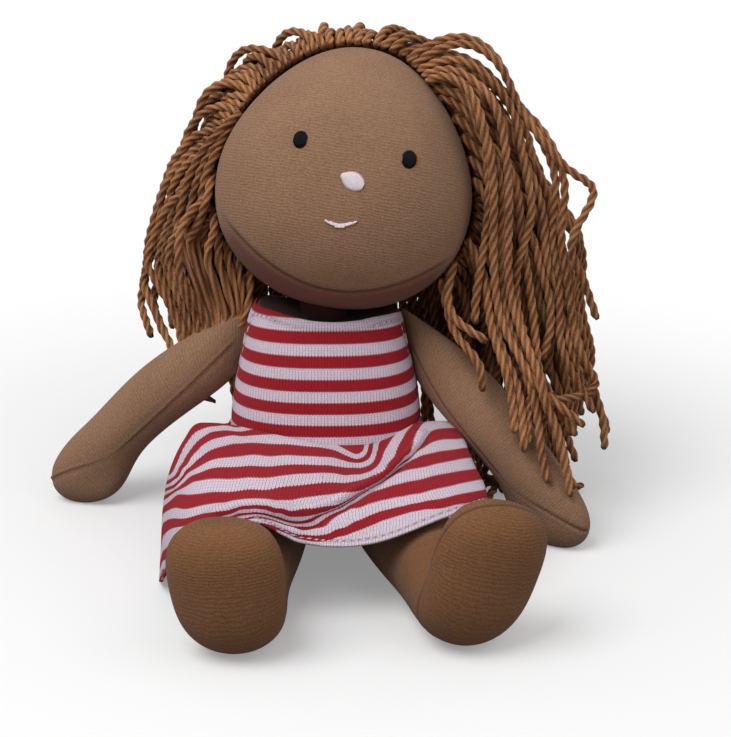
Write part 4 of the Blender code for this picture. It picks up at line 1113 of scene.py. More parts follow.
def beside_line(flat, line, reach):
    """How far points lie above a line on the cloth, and how much of the line is left beside them."""
    best = np.full(len(flat), 9.0)
    above = np.zeros(len(flat))
    left = np.ones(len(flat))
    for start, end in zip(line, line[1:]):
        way = end - start
        size = np.hypot(*way) + 1e-9
        ahead = (flat - start) @ way / size
        short = np.clip(ahead, 0, size)
        gap = flat - start - np.outer(short, way / size)
        far = np.hypot(gap[:, 0], gap[:, 1])
        nearer = far < best
        best = np.where(nearer, far, best)
        side = (gap[:, 1] * way[0] - gap[:, 0] * way[1]) * (1 if way[0] > 0 else -1)
        above = np.where(nearer, np.where(side > 0, far, -far), above)
    for end, inner in ((line[0], line[1]), (line[-1], line[-2])):
        way = (end - inner) / (np.hypot(*(end - inner)) + 1e-9)
        left = left * (1 - smoothstep(-reach, reach, (flat - end) @ way) * (np.hypot(*(flat - end).T) < 4 * reach))
    return above, left


def rest_on(spots, tree, clear):
    """Lifts points of the cloth that lie in what is under it, or too close."""
    for index, spot in enumerate(spots):
        near, normal, _, far = tree.find_nearest(Vector(spot))
        if far < clear or (far < 0.02 and (Vector(spot) - near).dot(normal) < 0):
            spots[index] = near + normal * clear
    return spots


def soften(spots, across, down, times):
    """Evens out small kinks, and leaves the sheet's edges where they are."""
    order = np.lexsort((across.round(5), down.round(5)))
    grid = spots[order].reshape(len(np.unique(down.round(5))), -1, 3)
    for _ in range(times):
        grid[1:-1, 1:-1] = (grid[:-2, 1:-1] + grid[2:, 1:-1] + grid[1:-1, :-2] + grid[1:-1, 2:] + 4 * grid[1:-1, 1:-1]) / 8
    spots = spots.copy()
    spots[order] = grid.reshape(-1, 3)
    return spots


under_skirt = tree_of(left_leg, right_leg, body)


def skirt_front(across, down):
    spots = through_guides(guide_grid(), across, down)
    spots = soften(rest_on(spots, under_skirt, 1.4 * MM), across, down, 6)
    fall, side, _ = cloth_lengths(spots, across, down)
    flat = np.stack([side, -fall], axis=1)
    lift = np.zeros(len(spots))
    for height, width, places in FOLDS:
        line = flat[shown_at(spots, places)]
        above, left = beside_line(flat, line, 3 * MM)
        width = width * MM
        roll = np.exp(-((above - 0.7 * width) / width) ** 2) - 0.6 * np.exp(-((above + 1.0 * width) / width) ** 2)
        lift += height * MM * roll * left
    lift *= smoothstep(0.0, 0.06, down) * smoothstep(6 * MM, 20 * MM, spots[:, 2])
    spots[:, 2] += lift
    spots[:, 1] -= 0.7 * np.maximum(lift, 0)
    return rest_on(spots, under_skirt, 1.2 * MM)


print("folds", len(FOLDS))

# %% [markdown]
# The stripes follow the rows of the knit, so they show how the cloth was pulled. They are laid by a
# smooth surface that gives, at each traced place, the number of the band that shows there: whole
# numbers are white, and halves are red. The main fold hides some cloth, so the bands above it and
# below it are read apart.

# %% Bands traced in the picture
BANDS = (
    (-1.5, ((215, 426), (195, 429), (187, 438), (181, 450), (177, 462))),
    (-1, ((236, 432), (225, 430), (213, 431), (203, 436), (195, 443), (188, 452), (182, 463), (176, 475))),
    (-0.5, ((235, 435), (222, 436), (210, 439), (200, 446), (193, 455), (186, 466), (178, 478), (350, 450), (361, 450))),
    (0, ((335, 450), (320, 446), (305, 444), (290, 442), (270, 441), (250, 441), (225, 443), (212, 447), (203, 453),
         (195, 460), (186, 470), (178, 481), (345, 455), (356, 459))),
    (0.5, ((345, 460), (335, 456), (320, 454), (300, 453), (270, 453), (240, 453), (225, 455), (212, 458),
           (202, 464), (193, 470), (185, 478), (176, 487))),
    (1, ((335, 465), (320, 464), (300, 463), (270, 464), (240, 464), (220, 465), (208, 468), (198, 473), (188, 479),
         (180, 487), (355, 467), (365, 466), (372, 462), (375, 452), (377, 442), (383, 435))),
    (1.5, ((335, 472), (320, 471), (300, 471), (280, 473), (250, 474), (220, 475), (205, 477), (192, 481), (183, 488),
           (345, 474), (360, 474), (370, 471), (377, 465), (381, 455), (385, 446), (390, 438), (397, 430))),
    (2, ((335, 480), (320, 480), (300, 482), (280, 484), (250, 486), (220, 488), (200, 490), (188, 492), (178, 494),
         (355, 480), (365, 478), (375, 474), (384, 466), (389, 456), (395, 446), (400, 438), (405, 430), (412, 424))),
    (2.5, ((335, 491), (320, 492), (300, 494), (280, 496), (250, 497), (220, 500), (200, 502), (185, 504), (172, 506),
           (355, 488), (368, 484), (380, 478), (390, 470), (398, 461), (403, 452), (409, 442), (413, 434), (418, 425))),
    (3, ((335, 501), (320, 503), (300, 506), (285, 507), (265, 504), (250, 504), (235, 506), (220, 509), (200, 513),
         (185, 516), (170, 516), (350, 497), (450, 425), (440, 426), (430, 428), (424, 433), (420, 441), (415, 449),
         (409, 456))),
    (3.5, ((312, 513), (300, 514), (288, 514), (275, 511), (262, 508), (250, 508), (238, 510), (228, 513), (215, 516),
           (200, 520), (185, 524), (170, 526), (455, 436), (445, 436), (435, 438), (428, 442), (422, 448))),
    (4, ((300, 519), (290, 518), (278, 514), (265, 511), (250, 511), (240, 512), (228, 516), (200, 527), (185, 531),
         (172, 537), (165, 546), (460, 446), (450, 447), (440, 448), (430, 451), (420, 455), (412, 460))),
    (4.5, ((300, 522), (285, 520), (270, 515), (255, 513), (185, 538), (178, 546), (168, 555), (463, 455), (455, 457),
           (445, 459), (435, 461), (425, 464), (415, 466), (405, 469), (395, 473))),
    (5, ((300, 525), (285, 523), (270, 518), (255, 516), (468, 466), (460, 467), (450, 469), (440, 471), (430, 473),
         (420, 476), (410, 478), (400, 481), (390, 484), (380, 488), (370, 492), (360, 498), (350, 504), (340, 510))),
    (5.5, ((300, 528), (285, 526), (270, 521), (255, 519), (474, 477), (465, 479), (455, 481), (440, 484), (425, 488),
           (410, 490), (395, 493), (380, 497), (365, 502), (350, 508), (340, 513), (328, 520))),
    (6, ((300, 533), (285, 529), (479, 487), (465, 490), (450, 494), (435, 497), (420, 501), (405, 504), (390, 507),
         (375, 511), (360, 517), (345, 525), (330, 531), (312, 534))),
    (6.5, ((315, 540), (300, 538), (482, 497), (470, 500), (455, 502), (440, 506), (425, 507), (410, 510), (395, 514),
           (380, 518), (365, 524), (350, 530), (335, 535))),
    (7, ((430, 516), (410, 519), (395, 524), (380, 530), (365, 536), (350, 541), (335, 544))),
)
RIGHT_SEAM_BAND, LEFT_SEAM_BAND = -2.0, 3.0
BAND_SMOOTH = 0.02
MAIN_FOLD = FOLDS[0][2]
FOLD_HIDES = (302, 402)           # from where to where the main fold hides cloth, across the picture


def bent_sheet(places, numbers, asked):
    """A thin sheet bent through numbers at flat places, read at other places."""
    known, asked = np.array(places) / 10.0, np.asarray(asked) / 10.0

    def bend(a, b):
        square = ((a[:, None] - b[None]) ** 2).sum(axis=2)
        return 0.5 * square * np.log(square + 1e-12)

    count = len(known)
    plane = np.hstack([np.ones((count, 1)), known])
    system = np.zeros((count + 3, count + 3))
    system[:count, :count] = bend(known, known) + BAND_SMOOTH * np.eye(count)
    system[:count, count:] = plane
    system[count:, :count] = plane.T
    weights = np.linalg.solve(system, np.concatenate([numbers, np.zeros(3)]))
    result = np.hstack([np.ones((len(asked), 1)), asked]) @ weights[count:]
    for start in range(0, len(asked), 4000):
        part = slice(start, start + 4000)
        result[part] += bend(asked[part], known) @ weights[:count]
    return result


def band_surface(flat, spots, across, down, fall):
    """The band number all over the front. Where the camera sees the cloth it is read from the traced
    places, above and below the main fold apart. Elsewhere it runs on evenly to the side seams."""
    seen, _ = in_picture(spots)
    line = np.array(MAIN_FOLD[::-1], dtype=float)
    lists = ([], [])
    for band, places in BANDS:
        for place in places:
            fold_at = np.interp(place[0], line[:, 0], line[:, 1])
            beside_fold = FOLD_HIDES[0] < place[0] < FOLD_HIDES[1]
            for side, chosen in enumerate(lists):
                if not beside_fold or (place[1] > fold_at) == bool(side):
                    chosen.append((band, place))
    upper, lower = (bent_sheet([place for _, place in chosen], [band for band, _ in chosen], seen) for chosen in lists)
    above, _ = beside_line(flat, flat[shown_at(spots, MAIN_FOLD)], 3 * MM)
    number = upper + (lower - upper) * smoothstep(0.7 * MM, -0.9 * MM, above)
    number = np.where(number > BANDS[-1][0], BANDS[-1][0] + 0.3 * (number - BANDS[-1][0]), number)
    order = np.lexsort((across.round(5), down.round(5)))
    shape = (len(np.unique(down.round(5))), -1)
    places, grid = spots[order].reshape(*shape, 3), number[order].reshape(shape)
    facing = np.cross(np.gradient(places, axis=0), np.gradient(places, axis=1))
    facing /= np.linalg.norm(facing, axis=2, keepdims=True) + 1e-12
    towards = (facing * (np.array(CAMERA_PLACE) - places)).sum(axis=2)
    towards = towards / np.linalg.norm(np.array(CAMERA_PLACE) - places, axis=2)
    towards = towards * np.sign(np.median(towards))
    known = towards > 0.12
    known[:, :3] = known[:, -3:] = False
    seams = fall[order].reshape(shape) / STRIPE_PERIOD
    grid[:, 0], grid[:, -1] = RIGHT_SEAM_BAND + seams[:, 0], LEFT_SEAM_BAND + seams[:, -1]
    columns = np.arange(grid.shape[1])
    for row in range(grid.shape[0]):
        held = known[row].copy()
        held[0] = held[-1] = True
        grid[row] = np.interp(columns, columns[held], grid[row][held])
    for _ in range(60):
        even = grid.copy()
        even[1:-1, 1:-1] = (grid[:-2, 1:-1] + grid[2:, 1:-1] + grid[1:-1, :-2] + grid[1:-1, 2:]) / 4
        grid = np.where(known, grid, even)
    number[order] = grid.ravel()
    return number


print("traced places", sum(len(line) for _, line in BANDS))

# %% Skirt
def skirt_sheet(name, spot_at, columns, rows, middle, traced=False):
    piece, across, down = cloth_grid(name, columns, rows)
    spots = spot_at(across, down)
    fall, side, length = cloth_lengths(spots, across, down)
    flat_y = 0.45 * fall + 0.55 * down * length
    if traced:
        flat_y = band_surface(np.stack([side, -fall], axis=1), spots, across, down, fall) * STRIPE_PERIOD
    move_points(piece, spots)
    lay_flat(piece, middle + side, flat_y)
    edge = (1 - down) * length
    paint(piece, "topstitch", np.exp(-((edge - STITCH_IN) / STITCH_WIDE) ** 2))
    bpy.ops.object.shade_smooth()
    return piece, length


SKIRT_COLUMNS, SKIRT_ROWS = 260, 130
front_sheet, front_flat = skirt_sheet("skirt_front_jersey", skirt_front, SKIRT_COLUMNS, SKIRT_ROWS, 0, True)
back_sheet, back_flat = skirt_sheet("skirt_back_jersey", skirt_back, SKIRT_COLUMNS, 60, GIRTH / 2)
for piece in (front_sheet, back_sheet):
    select_only(piece)
    bpy.ops.object.mode_set(mode="EDIT")
    bpy.ops.mesh.select_all(action="SELECT")
    bpy.ops.mesh.normals_make_consistent(inside=False)
    bpy.ops.object.mode_set(mode="OBJECT")
up_share = np.mean([face.normal.z for face in front_sheet.data.polygons])
if up_share < 0:
    front_sheet.data.flip_normals()
if np.mean([face.normal.y for face in back_sheet.data.polygons]) < 0:
    back_sheet.data.flip_normals()
thicken(front_sheet)
thicken(back_sheet)
settle(back_sheet, Matrix.Identity(4), jersey, "torso", "skirt_back", slot="dress_jersey")
print("skirt", len(front_sheet.data.polygons), "faces, flat length", round(front_flat, 4), round(back_flat, 4))

# %% Split the skirt's front between the legs
normals = normals_of(front_sheet).copy()
halves = []
for name, outward in (("skirt_left_jersey", 1), ("skirt_right_jersey", -1)):
    half = front_sheet.copy()
    half.data = front_sheet.data.copy()
    half.name = half.data.name = name
    bpy.context.scene.collection.objects.link(half)
    layer = half.data.attributes.new("whole", "INT", "POINT")
    layer.data.foreach_set("value", np.arange(len(half.data.vertices)))
    halves.append((half, outward))
for half, outward in halves:
    middles = np.empty(len(half.data.polygons) * 3)
    half.data.polygons.foreach_get("center", middles)
    cut_away(half, middles[0::3] * outward < 0)
    bpy.ops.object.mode_set(mode="EDIT")
    bpy.ops.mesh.select_all(action="SELECT")
    bpy.ops.mesh.fill_holes(sides=0)
    bpy.ops.object.mode_set(mode="OBJECT")
    index = np.empty(len(half.data.vertices), dtype=int)
    half.data.attributes["whole"].data.foreach_get("value", index)
    half.data.normals_split_custom_set_from_vertices([tuple(normals[i]) for i in index])
    half.data.attributes.remove(half.data.attributes["whole"])
    half.data.materials.clear()
    half.data.materials.append(jersey)
    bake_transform(half)
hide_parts("skirt_front")
bpy.data.objects.remove(front_sheet, do_unlink=True)
print("skirt halves", [len(half.data.polygons) for half, _ in halves])


# %% [markdown]
# The hair is some 200 lengths of plied yarn, sewn in rows along the hairline and over the back of
# the head. Yarn is limp: it leaves its row, bends over what lies under it and hangs. So each strand
# is laid step by step. At every step it turns a little towards the ground, and is pushed out of the
# head, the arms, the dress and the strands that already lie there.

# %% Lay a strand of yarn
YARN_RADIUS = 1.7 * MM
YARN_APART = 2 * YARN_RADIUS * 0.93
LAY_STEP = 3.0 * MM
STRAND_LENGTH = 150 * MM
dice = np.random.default_rng(11)
obstacles = tree_of(head, body, left_arm, right_arm, bodice, back_sheet, *[half for half, _ in halves],
                    left_leg, right_leg)
laid = np.empty((30000, 3))
laid_count = 0
strands = []


def out_of_pieces(spot, clear):
    near, normal, _, far = obstacles.find_nearest(Vector(spot))
    gap = (Vector(spot) - near).dot(normal)
    if (gap < 0 and far < 0.03) or far < clear:
        spot = np.array(near + normal * clear)
    spot[2] = max(spot[2], YARN_RADIUS)
    return spot


def out_of_strands(spot, share=0.7):
    if not laid_count:
        return spot
    away = spot - laid[:laid_count]
    far = np.einsum("ij,ij->i", away, away)
    close = np.nonzero(far < YARN_APART ** 2)[0]
    if len(close):
        gaps = np.sqrt(far[close]) + 1e-9
        spot = spot + (away[close] / gaps[:, None] * (YARN_APART - gaps)[:, None]).sum(axis=0) * share
    return spot


def lay_down(group, route):
    global laid_count
    laid[laid_count:laid_count + len(route)] = route
    laid_count += len(route)
    strands.append((group, route))


def lay_strand(root, way, hang, length, stiff=0.80, group="back", wobble=0.10):
    """Grows one strand from its root. It first follows way, and soon gives in to hang."""
    route = [np.array(root)]
    heading = np.array(way) / np.linalg.norm(way)
    hang = np.array(hang) / np.linalg.norm(hang)
    phase = dice.uniform(0, 2 * pi, 3)
    for step in range(int(length / LAY_STEP)):
        sway = np.array([sin(step * 0.45 + phase[0]), sin(step * 0.38 + phase[1]), 0.4 * sin(step * 0.5 + phase[2])])
        heading = heading * stiff + hang * (1 - stiff) + sway * wobble * 0.3
        heading /= np.linalg.norm(heading)
        spot = route[-1] + heading * LAY_STEP
        for _ in range(4):
            spot = out_of_pieces(out_of_strands(spot), YARN_RADIUS * 1.02)
            ahead = spot - route[-1]
            spot = route[-1] + ahead / np.linalg.norm(ahead) * LAY_STEP
        heading = (spot - route[-1]) / LAY_STEP
        route.append(spot)
    route = np.array(route)
    for _ in range(2):
        route[1:-1] = (route[:-2] + 2 * route[1:-1] + route[2:]) / 4
    lay_down(group, route)


# %% [markdown]
# Some strands are told apart in the photograph: those that hang in front of the left arm, the stray
# loop, and the waves beside the right cheek. Their routes are given as places in the picture,
# each with the strand's depth, and the camera's own geometry turns such a place into a point.

# %% Strands given one by one
def seen_at(across, down, depth):
    """The point behind a place in the picture, at a depth in millimetres behind the doll's middle."""
    ray = view_ahead + (X * (across - PICTURE_MIDDLE[0]) + view_up * (PICTURE_MIDDLE[1] - down)) / FOCAL_PIXELS
    return Vector(CAMERA_PLACE) + ray * ((depth * MM - CAMERA_PLACE[1]) / ray.y)


def curve_through(points, apart):
    """A smooth curve through points, read again at even steps."""
    points = np.array(points)
    padded = np.vstack([2 * points[0] - points[1], points, 2 * points[-1] - points[-2]])
    fine = []
    for cell in range(len(points) - 1):
        a, b, c, d = padded[cell:cell + 4]
        share = np.linspace(0, 1, 16, endpoint=False)[:, None]
        fine.append(b + 0.5 * share * (c - a + share * (2 * a - 5 * b + 4 * c - d + share * (3 * (b - c) + d - a))))
    fine = np.vstack(fine + [points[-1:]])
    steps = np.concatenate([[0], np.cumsum(np.linalg.norm(np.diff(fine, axis=0), axis=1))])
    where = np.arange(0, steps[-1], apart)
    return np.stack([np.interp(where, steps, fine[:, axis]) for axis in range(3)], axis=1)


def lay_picked(group, places, rooted=True):
    points = [seen_at(*place) for place in places]
    if rooted:
        near, normal, _, _ = head_surface.find_nearest(points[0])
        points[0] = near + normal * YARN_RADIUS * 0.6
    route = curve_through(points, LAY_STEP)
    for _ in range(8):
        for step in range(1 if rooted else 0, len(route)):
            route[step] = out_of_pieces(out_of_strands(route[step], 0.35), YARN_RADIUS * 1.02)
        route[1:-1] = (route[:-2] + 2 * route[1:-1] + route[2:]) / 4
    lay_down(group, route)


LEFT_PICKED = (
    ((428, 80, 12), (444, 72, 6), (462, 80, 2), (475, 97, -2), (484, 127, -4), (492, 163, -5), (494, 199, -6), (493, 250, -6), (496, 299, -8), (503, 329, -12), (518, 352, -18), (528, 376, -22), (543, 393, -26), (559, 406, -28), (574, 418, -30), (590, 431, -30)),
    ((424, 74, 14), (452, 66, 8), (478, 84, 3), (496, 101, 0), (502, 125, -2), (507, 160, -4), (509, 200, -5), (508, 250, -6), (509, 291, -8), (517, 322, -12), (527, 345, -17), (534, 366, -21), (541, 388, -25), (549, 408, -28), (558, 430, -30), (565, 460, -32), (570, 500, -34)),
    ((432, 90, 14), (458, 92, 8), (478, 112, 4), (487, 150, 0), (489, 200, -2), (484, 250, -4), (478, 282, -6), (474, 305, -8), (476, 330, -12)),
    ((436, 98, 14), (462, 104, 8), (482, 130, 5), (499, 170, 3), (501, 215, 1), (500, 262, -2), (502, 300, -6), (508, 330, -11), (521, 358, -17), (530, 383, -22), (537, 408, -26), (540, 440, -28), (543, 470, -31), (550, 488, -33)),
    ((420, 68, 15), (452, 56, 12), (484, 72, 10), (509, 100, 8), (519, 130, 6), (524, 165, 4), (529, 185, 3), (534, 205, 2), (530, 228, 1), (519, 255, 0), (515, 280, -2), (516, 308, -6), (524, 335, -12), (530, 355, -17), (533, 385, -22), (528, 415, -25), (527, 452, -29)),
    ((416, 62, 16), (440, 46, 14), (466, 41, 12), (492, 54, 10), (507, 74, 9), (514, 100, 9), (524, 118, 8), (541, 138, 6), (552, 152, 4), (566, 171, 2), (582, 180, 0), (601, 184, -2), (588, 209, -2), (572, 234, -1), (566, 252, 0), (577, 264, 0), (586, 285, 0), (592, 308, 0), (600, 325, 0)),
    ((412, 58, 17), (438, 39, 15), (462, 35, 14), (488, 47, 13), (504, 68, 12), (512, 95, 12), (530, 122, 11), (546, 148, 9), (555, 168, 8), (557, 190, 7), (553, 215, 6), (550, 240, 5), (556, 266, 4), (560, 300, 2), (560, 325, 0), (557, 343, -2), (566, 360, -4), (574, 378, -6), (585, 394, -8), (594, 413, -9)),
    ((414, 66, 17), (444, 52, 16), (474, 60, 14), (500, 86, 13), (524, 112, 12), (545, 142, 10), (562, 168, 8), (567, 190, 6), (561, 222, 5), (560, 245, 4), (566, 265, 3), (570, 300, 2), (574, 330, 0), (578, 352, -2), (590, 372, -4), (605, 385, -5), (594, 391, -6), (580, 394, -8), (558, 402, -12), (549, 400, -14)),
    ((430, 84, 18), (466, 84, 14), (492, 104, 11), (511, 130, 9), (524, 160, 8), (536, 185, 6), (544, 215, 5), (548, 250, 4), (556, 280, 3), (570, 310, 2), (577, 340, 1), (584, 362, 0), (593, 388, -2), (602, 412, -3), (605, 430, -4), (604, 452, -4)),
    ((455, 262, -2), (449, 280, -6), (445, 303, -10), (453, 321, -15), (468, 330, -18), (482, 337, -20), (489, 343, -20)),
    ((462, 300, -6), (452, 330, -12), (461, 345, -16), (476, 355, -19), (485, 366, -21), (483, 379, -23), (482, 393, -24)),
    ((470, 240, 2), (480, 262, -1), (489, 295, -6), (488, 318, -10), (494, 340, -15), (503, 362, -19), (510, 385, -23), (514, 410, -26), (515, 438, -29)),
    ((474, 250, 4), (488, 280, 0), (494, 310, -5), (497, 336, -11), (504, 356, -16), (515, 380, -21), (521, 400, -25), (523, 425, -27), (526, 452, -30)),
    ((448, 120, 14), (470, 128, 8), (492, 148, 5), (514, 172, 4), (520, 210, 3), (524, 250, 2), (530, 290, 0), (534, 320, -4), (536, 350, -10), (541, 385, -17), (549, 415, -22), (557, 440, -25), (564, 466, -28), (569, 498, -30)),
    ((452, 140, 14), (476, 150, 9), (500, 175, 7), (514, 210, 6), (538, 245, 4), (548, 285, 2), (552, 320, 0), (548, 345, -4), (539, 362, -8)),
    ((458, 160, 13), (482, 172, 9), (506, 200, 8), (526, 230, 6), (541, 262, 4), (556, 300, 2), (567, 335, 0), (572, 360, -2), (584, 385, -4), (588, 402, -6)),
    ((462, 180, 12), (484, 192, 9), (497, 230, 6), (500, 270, 3), (507, 310, -3), (520, 340, -10), (536, 370, -16), (551, 395, -21), (563, 416, -24), (571, 428, -26), (579, 441, -27)),
)
RIGHT_PICKED = (
    ((240, 112, 16), (226, 124, 12), (206, 146, 12), (190, 172, 14), (182, 205, 16), (174, 232, 18), (168, 262, 20), (166, 295, 22), (170, 325, 24), (176, 345, 26)),
    ((236, 122, 15), (222, 138, 11), (204, 160, 11), (194, 190, 13), (190, 215, 15), (182, 245, 17), (180, 275, 18), (176, 305, 20), (182, 332, 22)),
    ((228, 138, 14), (213, 156, 8), (204, 176, 8), (201, 200, 11), (198, 225, 14), (188, 255, 17), (190, 285, 19), (184, 310, 21)),
    ((222, 172, 12), (212, 190, 5), (204, 205, 4), (200, 222, 8), (192, 240, 12), (182, 238, 12), (176, 258, 12), (174, 282, 15), (168, 310, 18), (164, 336, 22)),
    ((222, 208, 12), (222, 228, 3), (210, 245, 1), (195, 262, 3), (186, 280, 6), (182, 300, 10), (178, 325, 15)),
    ((226, 222, 14), (224, 242, 5), (212, 262, 3), (200, 282, 5), (190, 302, 9), (180, 325, 14)),
    ((232, 238, 15), (229, 258, 6), (217, 278, 4), (204, 297, 7), (192, 315, 12), (186, 335, 18)),
    ((240, 250, 16), (240, 268, 8), (229, 285, 6), (214, 298, 8), (200, 312, 13), (192, 330, 18)),
    ((250, 262, 18), (252, 280, 10), (240, 296, 8), (222, 305, 9), (208, 314, 13), (196, 330, 20)),
    ((204, 190, 22), (186, 220, 22), (172, 246, 22), (162, 268, 22), (149, 275, 21)),
    ((216, 150, 22), (198, 190, 22), (184, 240, 24), (174, 290, 26), (170, 330, 30), (176, 372, 34)),
    ((260, 262, 26), (240, 300, 26), (226, 340, 28), (216, 375, 30), (206, 400, 32)),
    ((266, 266, 28), (248, 310, 28), (232, 350, 30), (222, 385, 32), (214, 403, 34)),
    ((256, 262, 24), (232, 296, 24), (212, 336, 27), (204, 370, 30), (198, 396, 32)),
)
for places in LEFT_PICKED:
    lay_picked("left", places)
for places in RIGHT_PICKED:
    lay_picked("right", places)
print("picked strands", len(strands))


# %% [markdown]
# The other strands are sewn in even rows and fall by themselves. The rows at the back of the head
# are laid first, and the hairline's rows last, over them.

# %% Rows of strands
def hairline_root(turn, back):
    """A root on the head, by its turn from the crown towards the doll's left and how far back it lies."""
    ahead = head_turn @ Vector((sin(turn), 0, cos(turn)))
    start = head_centre + (head_turn @ Y) * back
    hit, normal, _, _ = head_surface.ray_cast(start, ahead)
    return np.array(hit + normal * YARN_RADIUS), np.array(normal)


def sew_row(first, last, count, back, group, out, comb, hang, length, stiff=0.8, wobble=0.1):
    """Roots from the turn first to the turn last, sewn from the low ends up to the crown."""
    turns = [radians(first + (last - first) * step / (count - 1)) for step in range(count)]
    for turn in sorted(turns, key=lambda turn: -abs(turn)):
        root, normal = hairline_root(turn + dice.uniform(-0.015, 0.015), back)
        way = np.array(head_turn @ Vector(comb(turn)))
        way = normal * out + way - normal * (way @ normal)
        lay_strand(root, way, hang(turn), length * dice.uniform(0.88, 1.08), stiff, group, wobble)


def swept_back(turn):
    return 0.15 * sin(turn), 0.9, 0.1


def swept_down(turn):
    return 0.1 * sin(turn), 0.3, -1


for back, count, reach in ((30 * MM, 16, 88), (20 * MM, 24, 102)):
    sew_row(-reach, reach, count, back, "back", 0.25, swept_down,
            lambda turn: (0.05 * sin(turn), -0.03, -1), STRAND_LENGTH * 0.74, 0.72)

sew_row(-122, -3, 34, 8 * MM, "right", 0.7, swept_back,
        lambda turn: (0, 0.04, -1), STRAND_LENGTH * 0.82, 0.78, 0.2)
sew_row(3, 122, 34, 8 * MM, "left", 0.7, lambda turn: (0.35 * sin(turn) + 0.1, 0.6, 0.1),
        lambda turn: (0.05, -0.02, -1), STRAND_LENGTH * 0.88, 0.78, 0.25)
sew_row(-116, -2, 32, 4.5 * MM, "right", 1.1, lambda turn: (0.25 * sin(turn), 0.6, 0.2),
        lambda turn: (-0.02, 0.06, -1), STRAND_LENGTH * 0.80, 0.80, 0.25)
sew_row(2, 112, 32, 4.5 * MM, "left", 1.2, lambda turn: (0.5 * sin(turn) + 0.2, 0.35, 0.2),
        lambda turn: (0.08, 0.0, -1), STRAND_LENGTH * 0.88, 0.82, 0.35)
sew_row(-112, -2, 32, 1 * MM, "right", 1.3, lambda turn: (0.3 * sin(turn), 0.6, 0.2),
        lambda turn: (-0.02, 0.06, -1), STRAND_LENGTH * 0.78, 0.80, 0.25)
sew_row(2, 100, 28, 1 * MM, "left", 1.3, lambda turn: (0.5 * sin(turn) + 0.2, 0.35, 0.2),
        lambda turn: (0.10, -0.04, -1), STRAND_LENGTH * 0.88, 0.82, 0.35)
for first, last, group, lean in ((-75, -3, "right", -0.03), (3, 75, "left", 0.06)):
    sew_row(first, last, 16, 6 * MM, group, 3.2, lambda turn: (0.3 * sin(turn), 0.6, 0.25),
            lambda turn, lean=lean: (lean, 0.04, -1), STRAND_LENGTH * 0.84, 0.80, 0.3)
print("strands", len(strands), "points", laid_count)


# %% [markdown]
# The yarn itself is a few plies twisted together. A curve with a bevel shape gives just that: the
# shape is a small three-lobed ring, and each point of the curve is tilted a little more than the
# last. The ring's low points are where two plies meet, and they are painted darker afterwards, as
# painted shade.

# %% Spin the yarn
PLIES = 3
PROFILE_POINTS = 12
PLY_PITCH = 15 * MM
FINE_STEP = 0.95 * MM
LOBE = 0.19

profile = bpy.data.curves.new("yarn_profile", "CURVE")
profile.dimensions = "2D"
ring = profile.splines.new("POLY")
ring.points.add(PROFILE_POINTS - 1)
for step in range(PROFILE_POINTS):
    bearing = -2 * pi * step / PROFILE_POINTS
    radius = YARN_RADIUS * (1 - LOBE + LOBE * cos(PLIES * bearing))
    ring.points[step].co = (radius * cos(bearing), radius * sin(bearing), 0, 1)
ring.use_cyclic_u = True
profile_piece = bpy.data.objects.new("yarn_profile", profile)
bpy.context.scene.collection.objects.link(profile_piece)


def fine_route(route):
    """A smooth curve through a strand's points, with a point each fine step."""
    where = np.arange(len(route))
    count = int((len(route) - 1) * LAY_STEP / FINE_STEP)
    spot = np.linspace(0, len(route) - 1, count)
    cell = np.minimum(spot.astype(int), len(route) - 2)
    share = (spot - cell)[:, None]
    padded = np.vstack([2 * route[0] - route[1], route, 2 * route[-1] - route[-2]])
    a, b, c, d = (padded[cell + step] for step in range(4))
    return b + 0.5 * share * (c - a + share * (2 * a - 5 * b + 4 * c - d + share * (3 * (b - c) + d - a)))


def between_plies(piece, routes):
    """1 in the dips between the plies and 0 on their backs, from the distance to the yarn's middle."""
    middles = np.vstack([fine_route(route) for route in routes])
    tree = KDTree(len(middles))
    for index, spot in enumerate(middles):
        tree.insert(spot, index)
    tree.balance()
    far = np.array([tree.find(spot)[2] for spot in points_of(piece)])
    return 1 - smoothstep((1 - 2 * LOBE) * YARN_RADIUS, YARN_RADIUS * 1.02, far)


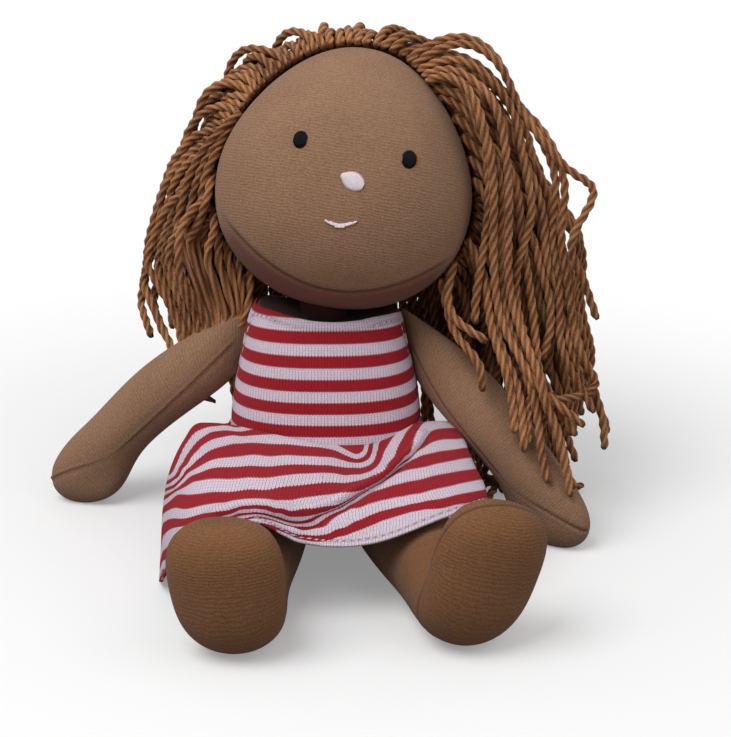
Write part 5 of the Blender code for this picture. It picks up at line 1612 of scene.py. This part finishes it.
def spin(name, routes, body, *nodes):
    line = bpy.data.curves.new(name, "CURVE")
    line.dimensions = "3D"
    line.bevel_mode = "OBJECT"
    line.bevel_object = profile_piece
    line.use_fill_caps = True
    line.twist_mode = "MINIMUM"
    for route in routes:
        fine = fine_route(route)
        strand = line.splines.new("POLY")
        strand.points.add(len(fine) - 1)
        strand.points.foreach_set("co", np.hstack([fine, np.ones((len(fine), 1))]).ravel())
        strand.points.foreach_set("tilt", np.arange(len(fine)) * FINE_STEP / PLY_PITCH * 2 * pi + dice.uniform(0, 6))
        radii = np.ones(len(fine))
        radii[-2:] = (0.85, 0.5)
        radii[0] = 0.7
        strand.points.foreach_set("radius", radii)
    piece = bpy.data.objects.new(name, line)
    bpy.context.scene.collection.objects.link(piece)
    select_only(piece)
    bpy.ops.object.convert(target="MESH")
    piece = bpy.context.object
    bpy.ops.object.mode_set(mode="EDIT")
    bpy.ops.mesh.select_all(action="SELECT")
    bpy.ops.mesh.remove_doubles(threshold=0.00001)
    bpy.ops.mesh.normals_make_consistent(inside=False)
    bpy.ops.object.mode_set(mode="OBJECT")
    bpy.ops.object.shade_smooth()
    paint(piece, "groove", between_plies(piece, routes))
    settle(piece, Matrix.Identity(4), yarn, body, *nodes, slot="hair_yarn")
    return piece


PIECE_STRANDS = 40
made = []
for group in ("back", "right", "left"):
    routes = [route for label, route in strands if label == group]
    for first in range(0, len(routes), PIECE_STRANDS):
        name = "hair_" + group + "_" + str(first // PIECE_STRANDS + 1)
        nodes = {"back": ("hair_back_locks", "hair_cap"), "right": ("hair_right_locks",),
                 "left": ("hair_left_locks",)}[group] if first == 0 else ()
        made.append(spin(name, routes[first:first + PIECE_STRANDS], "head", *nodes))
bpy.data.objects.remove(profile_piece, do_unlink=True)
print("hair pieces", [(piece.name, len(piece.data.polygons)) for piece in made])


# %% [markdown]
# Each piece of cloth prints its area, the size it was cut to: half the area of its thickened sheet.
# The dressed doll may stand only a little proud of its solids.

for piece in (bodice, back_sheet, *[half for half, _ in halves]):
    print(piece.name, "area", round(sum(face.area for face in piece.data.polygons) / 2, 5))
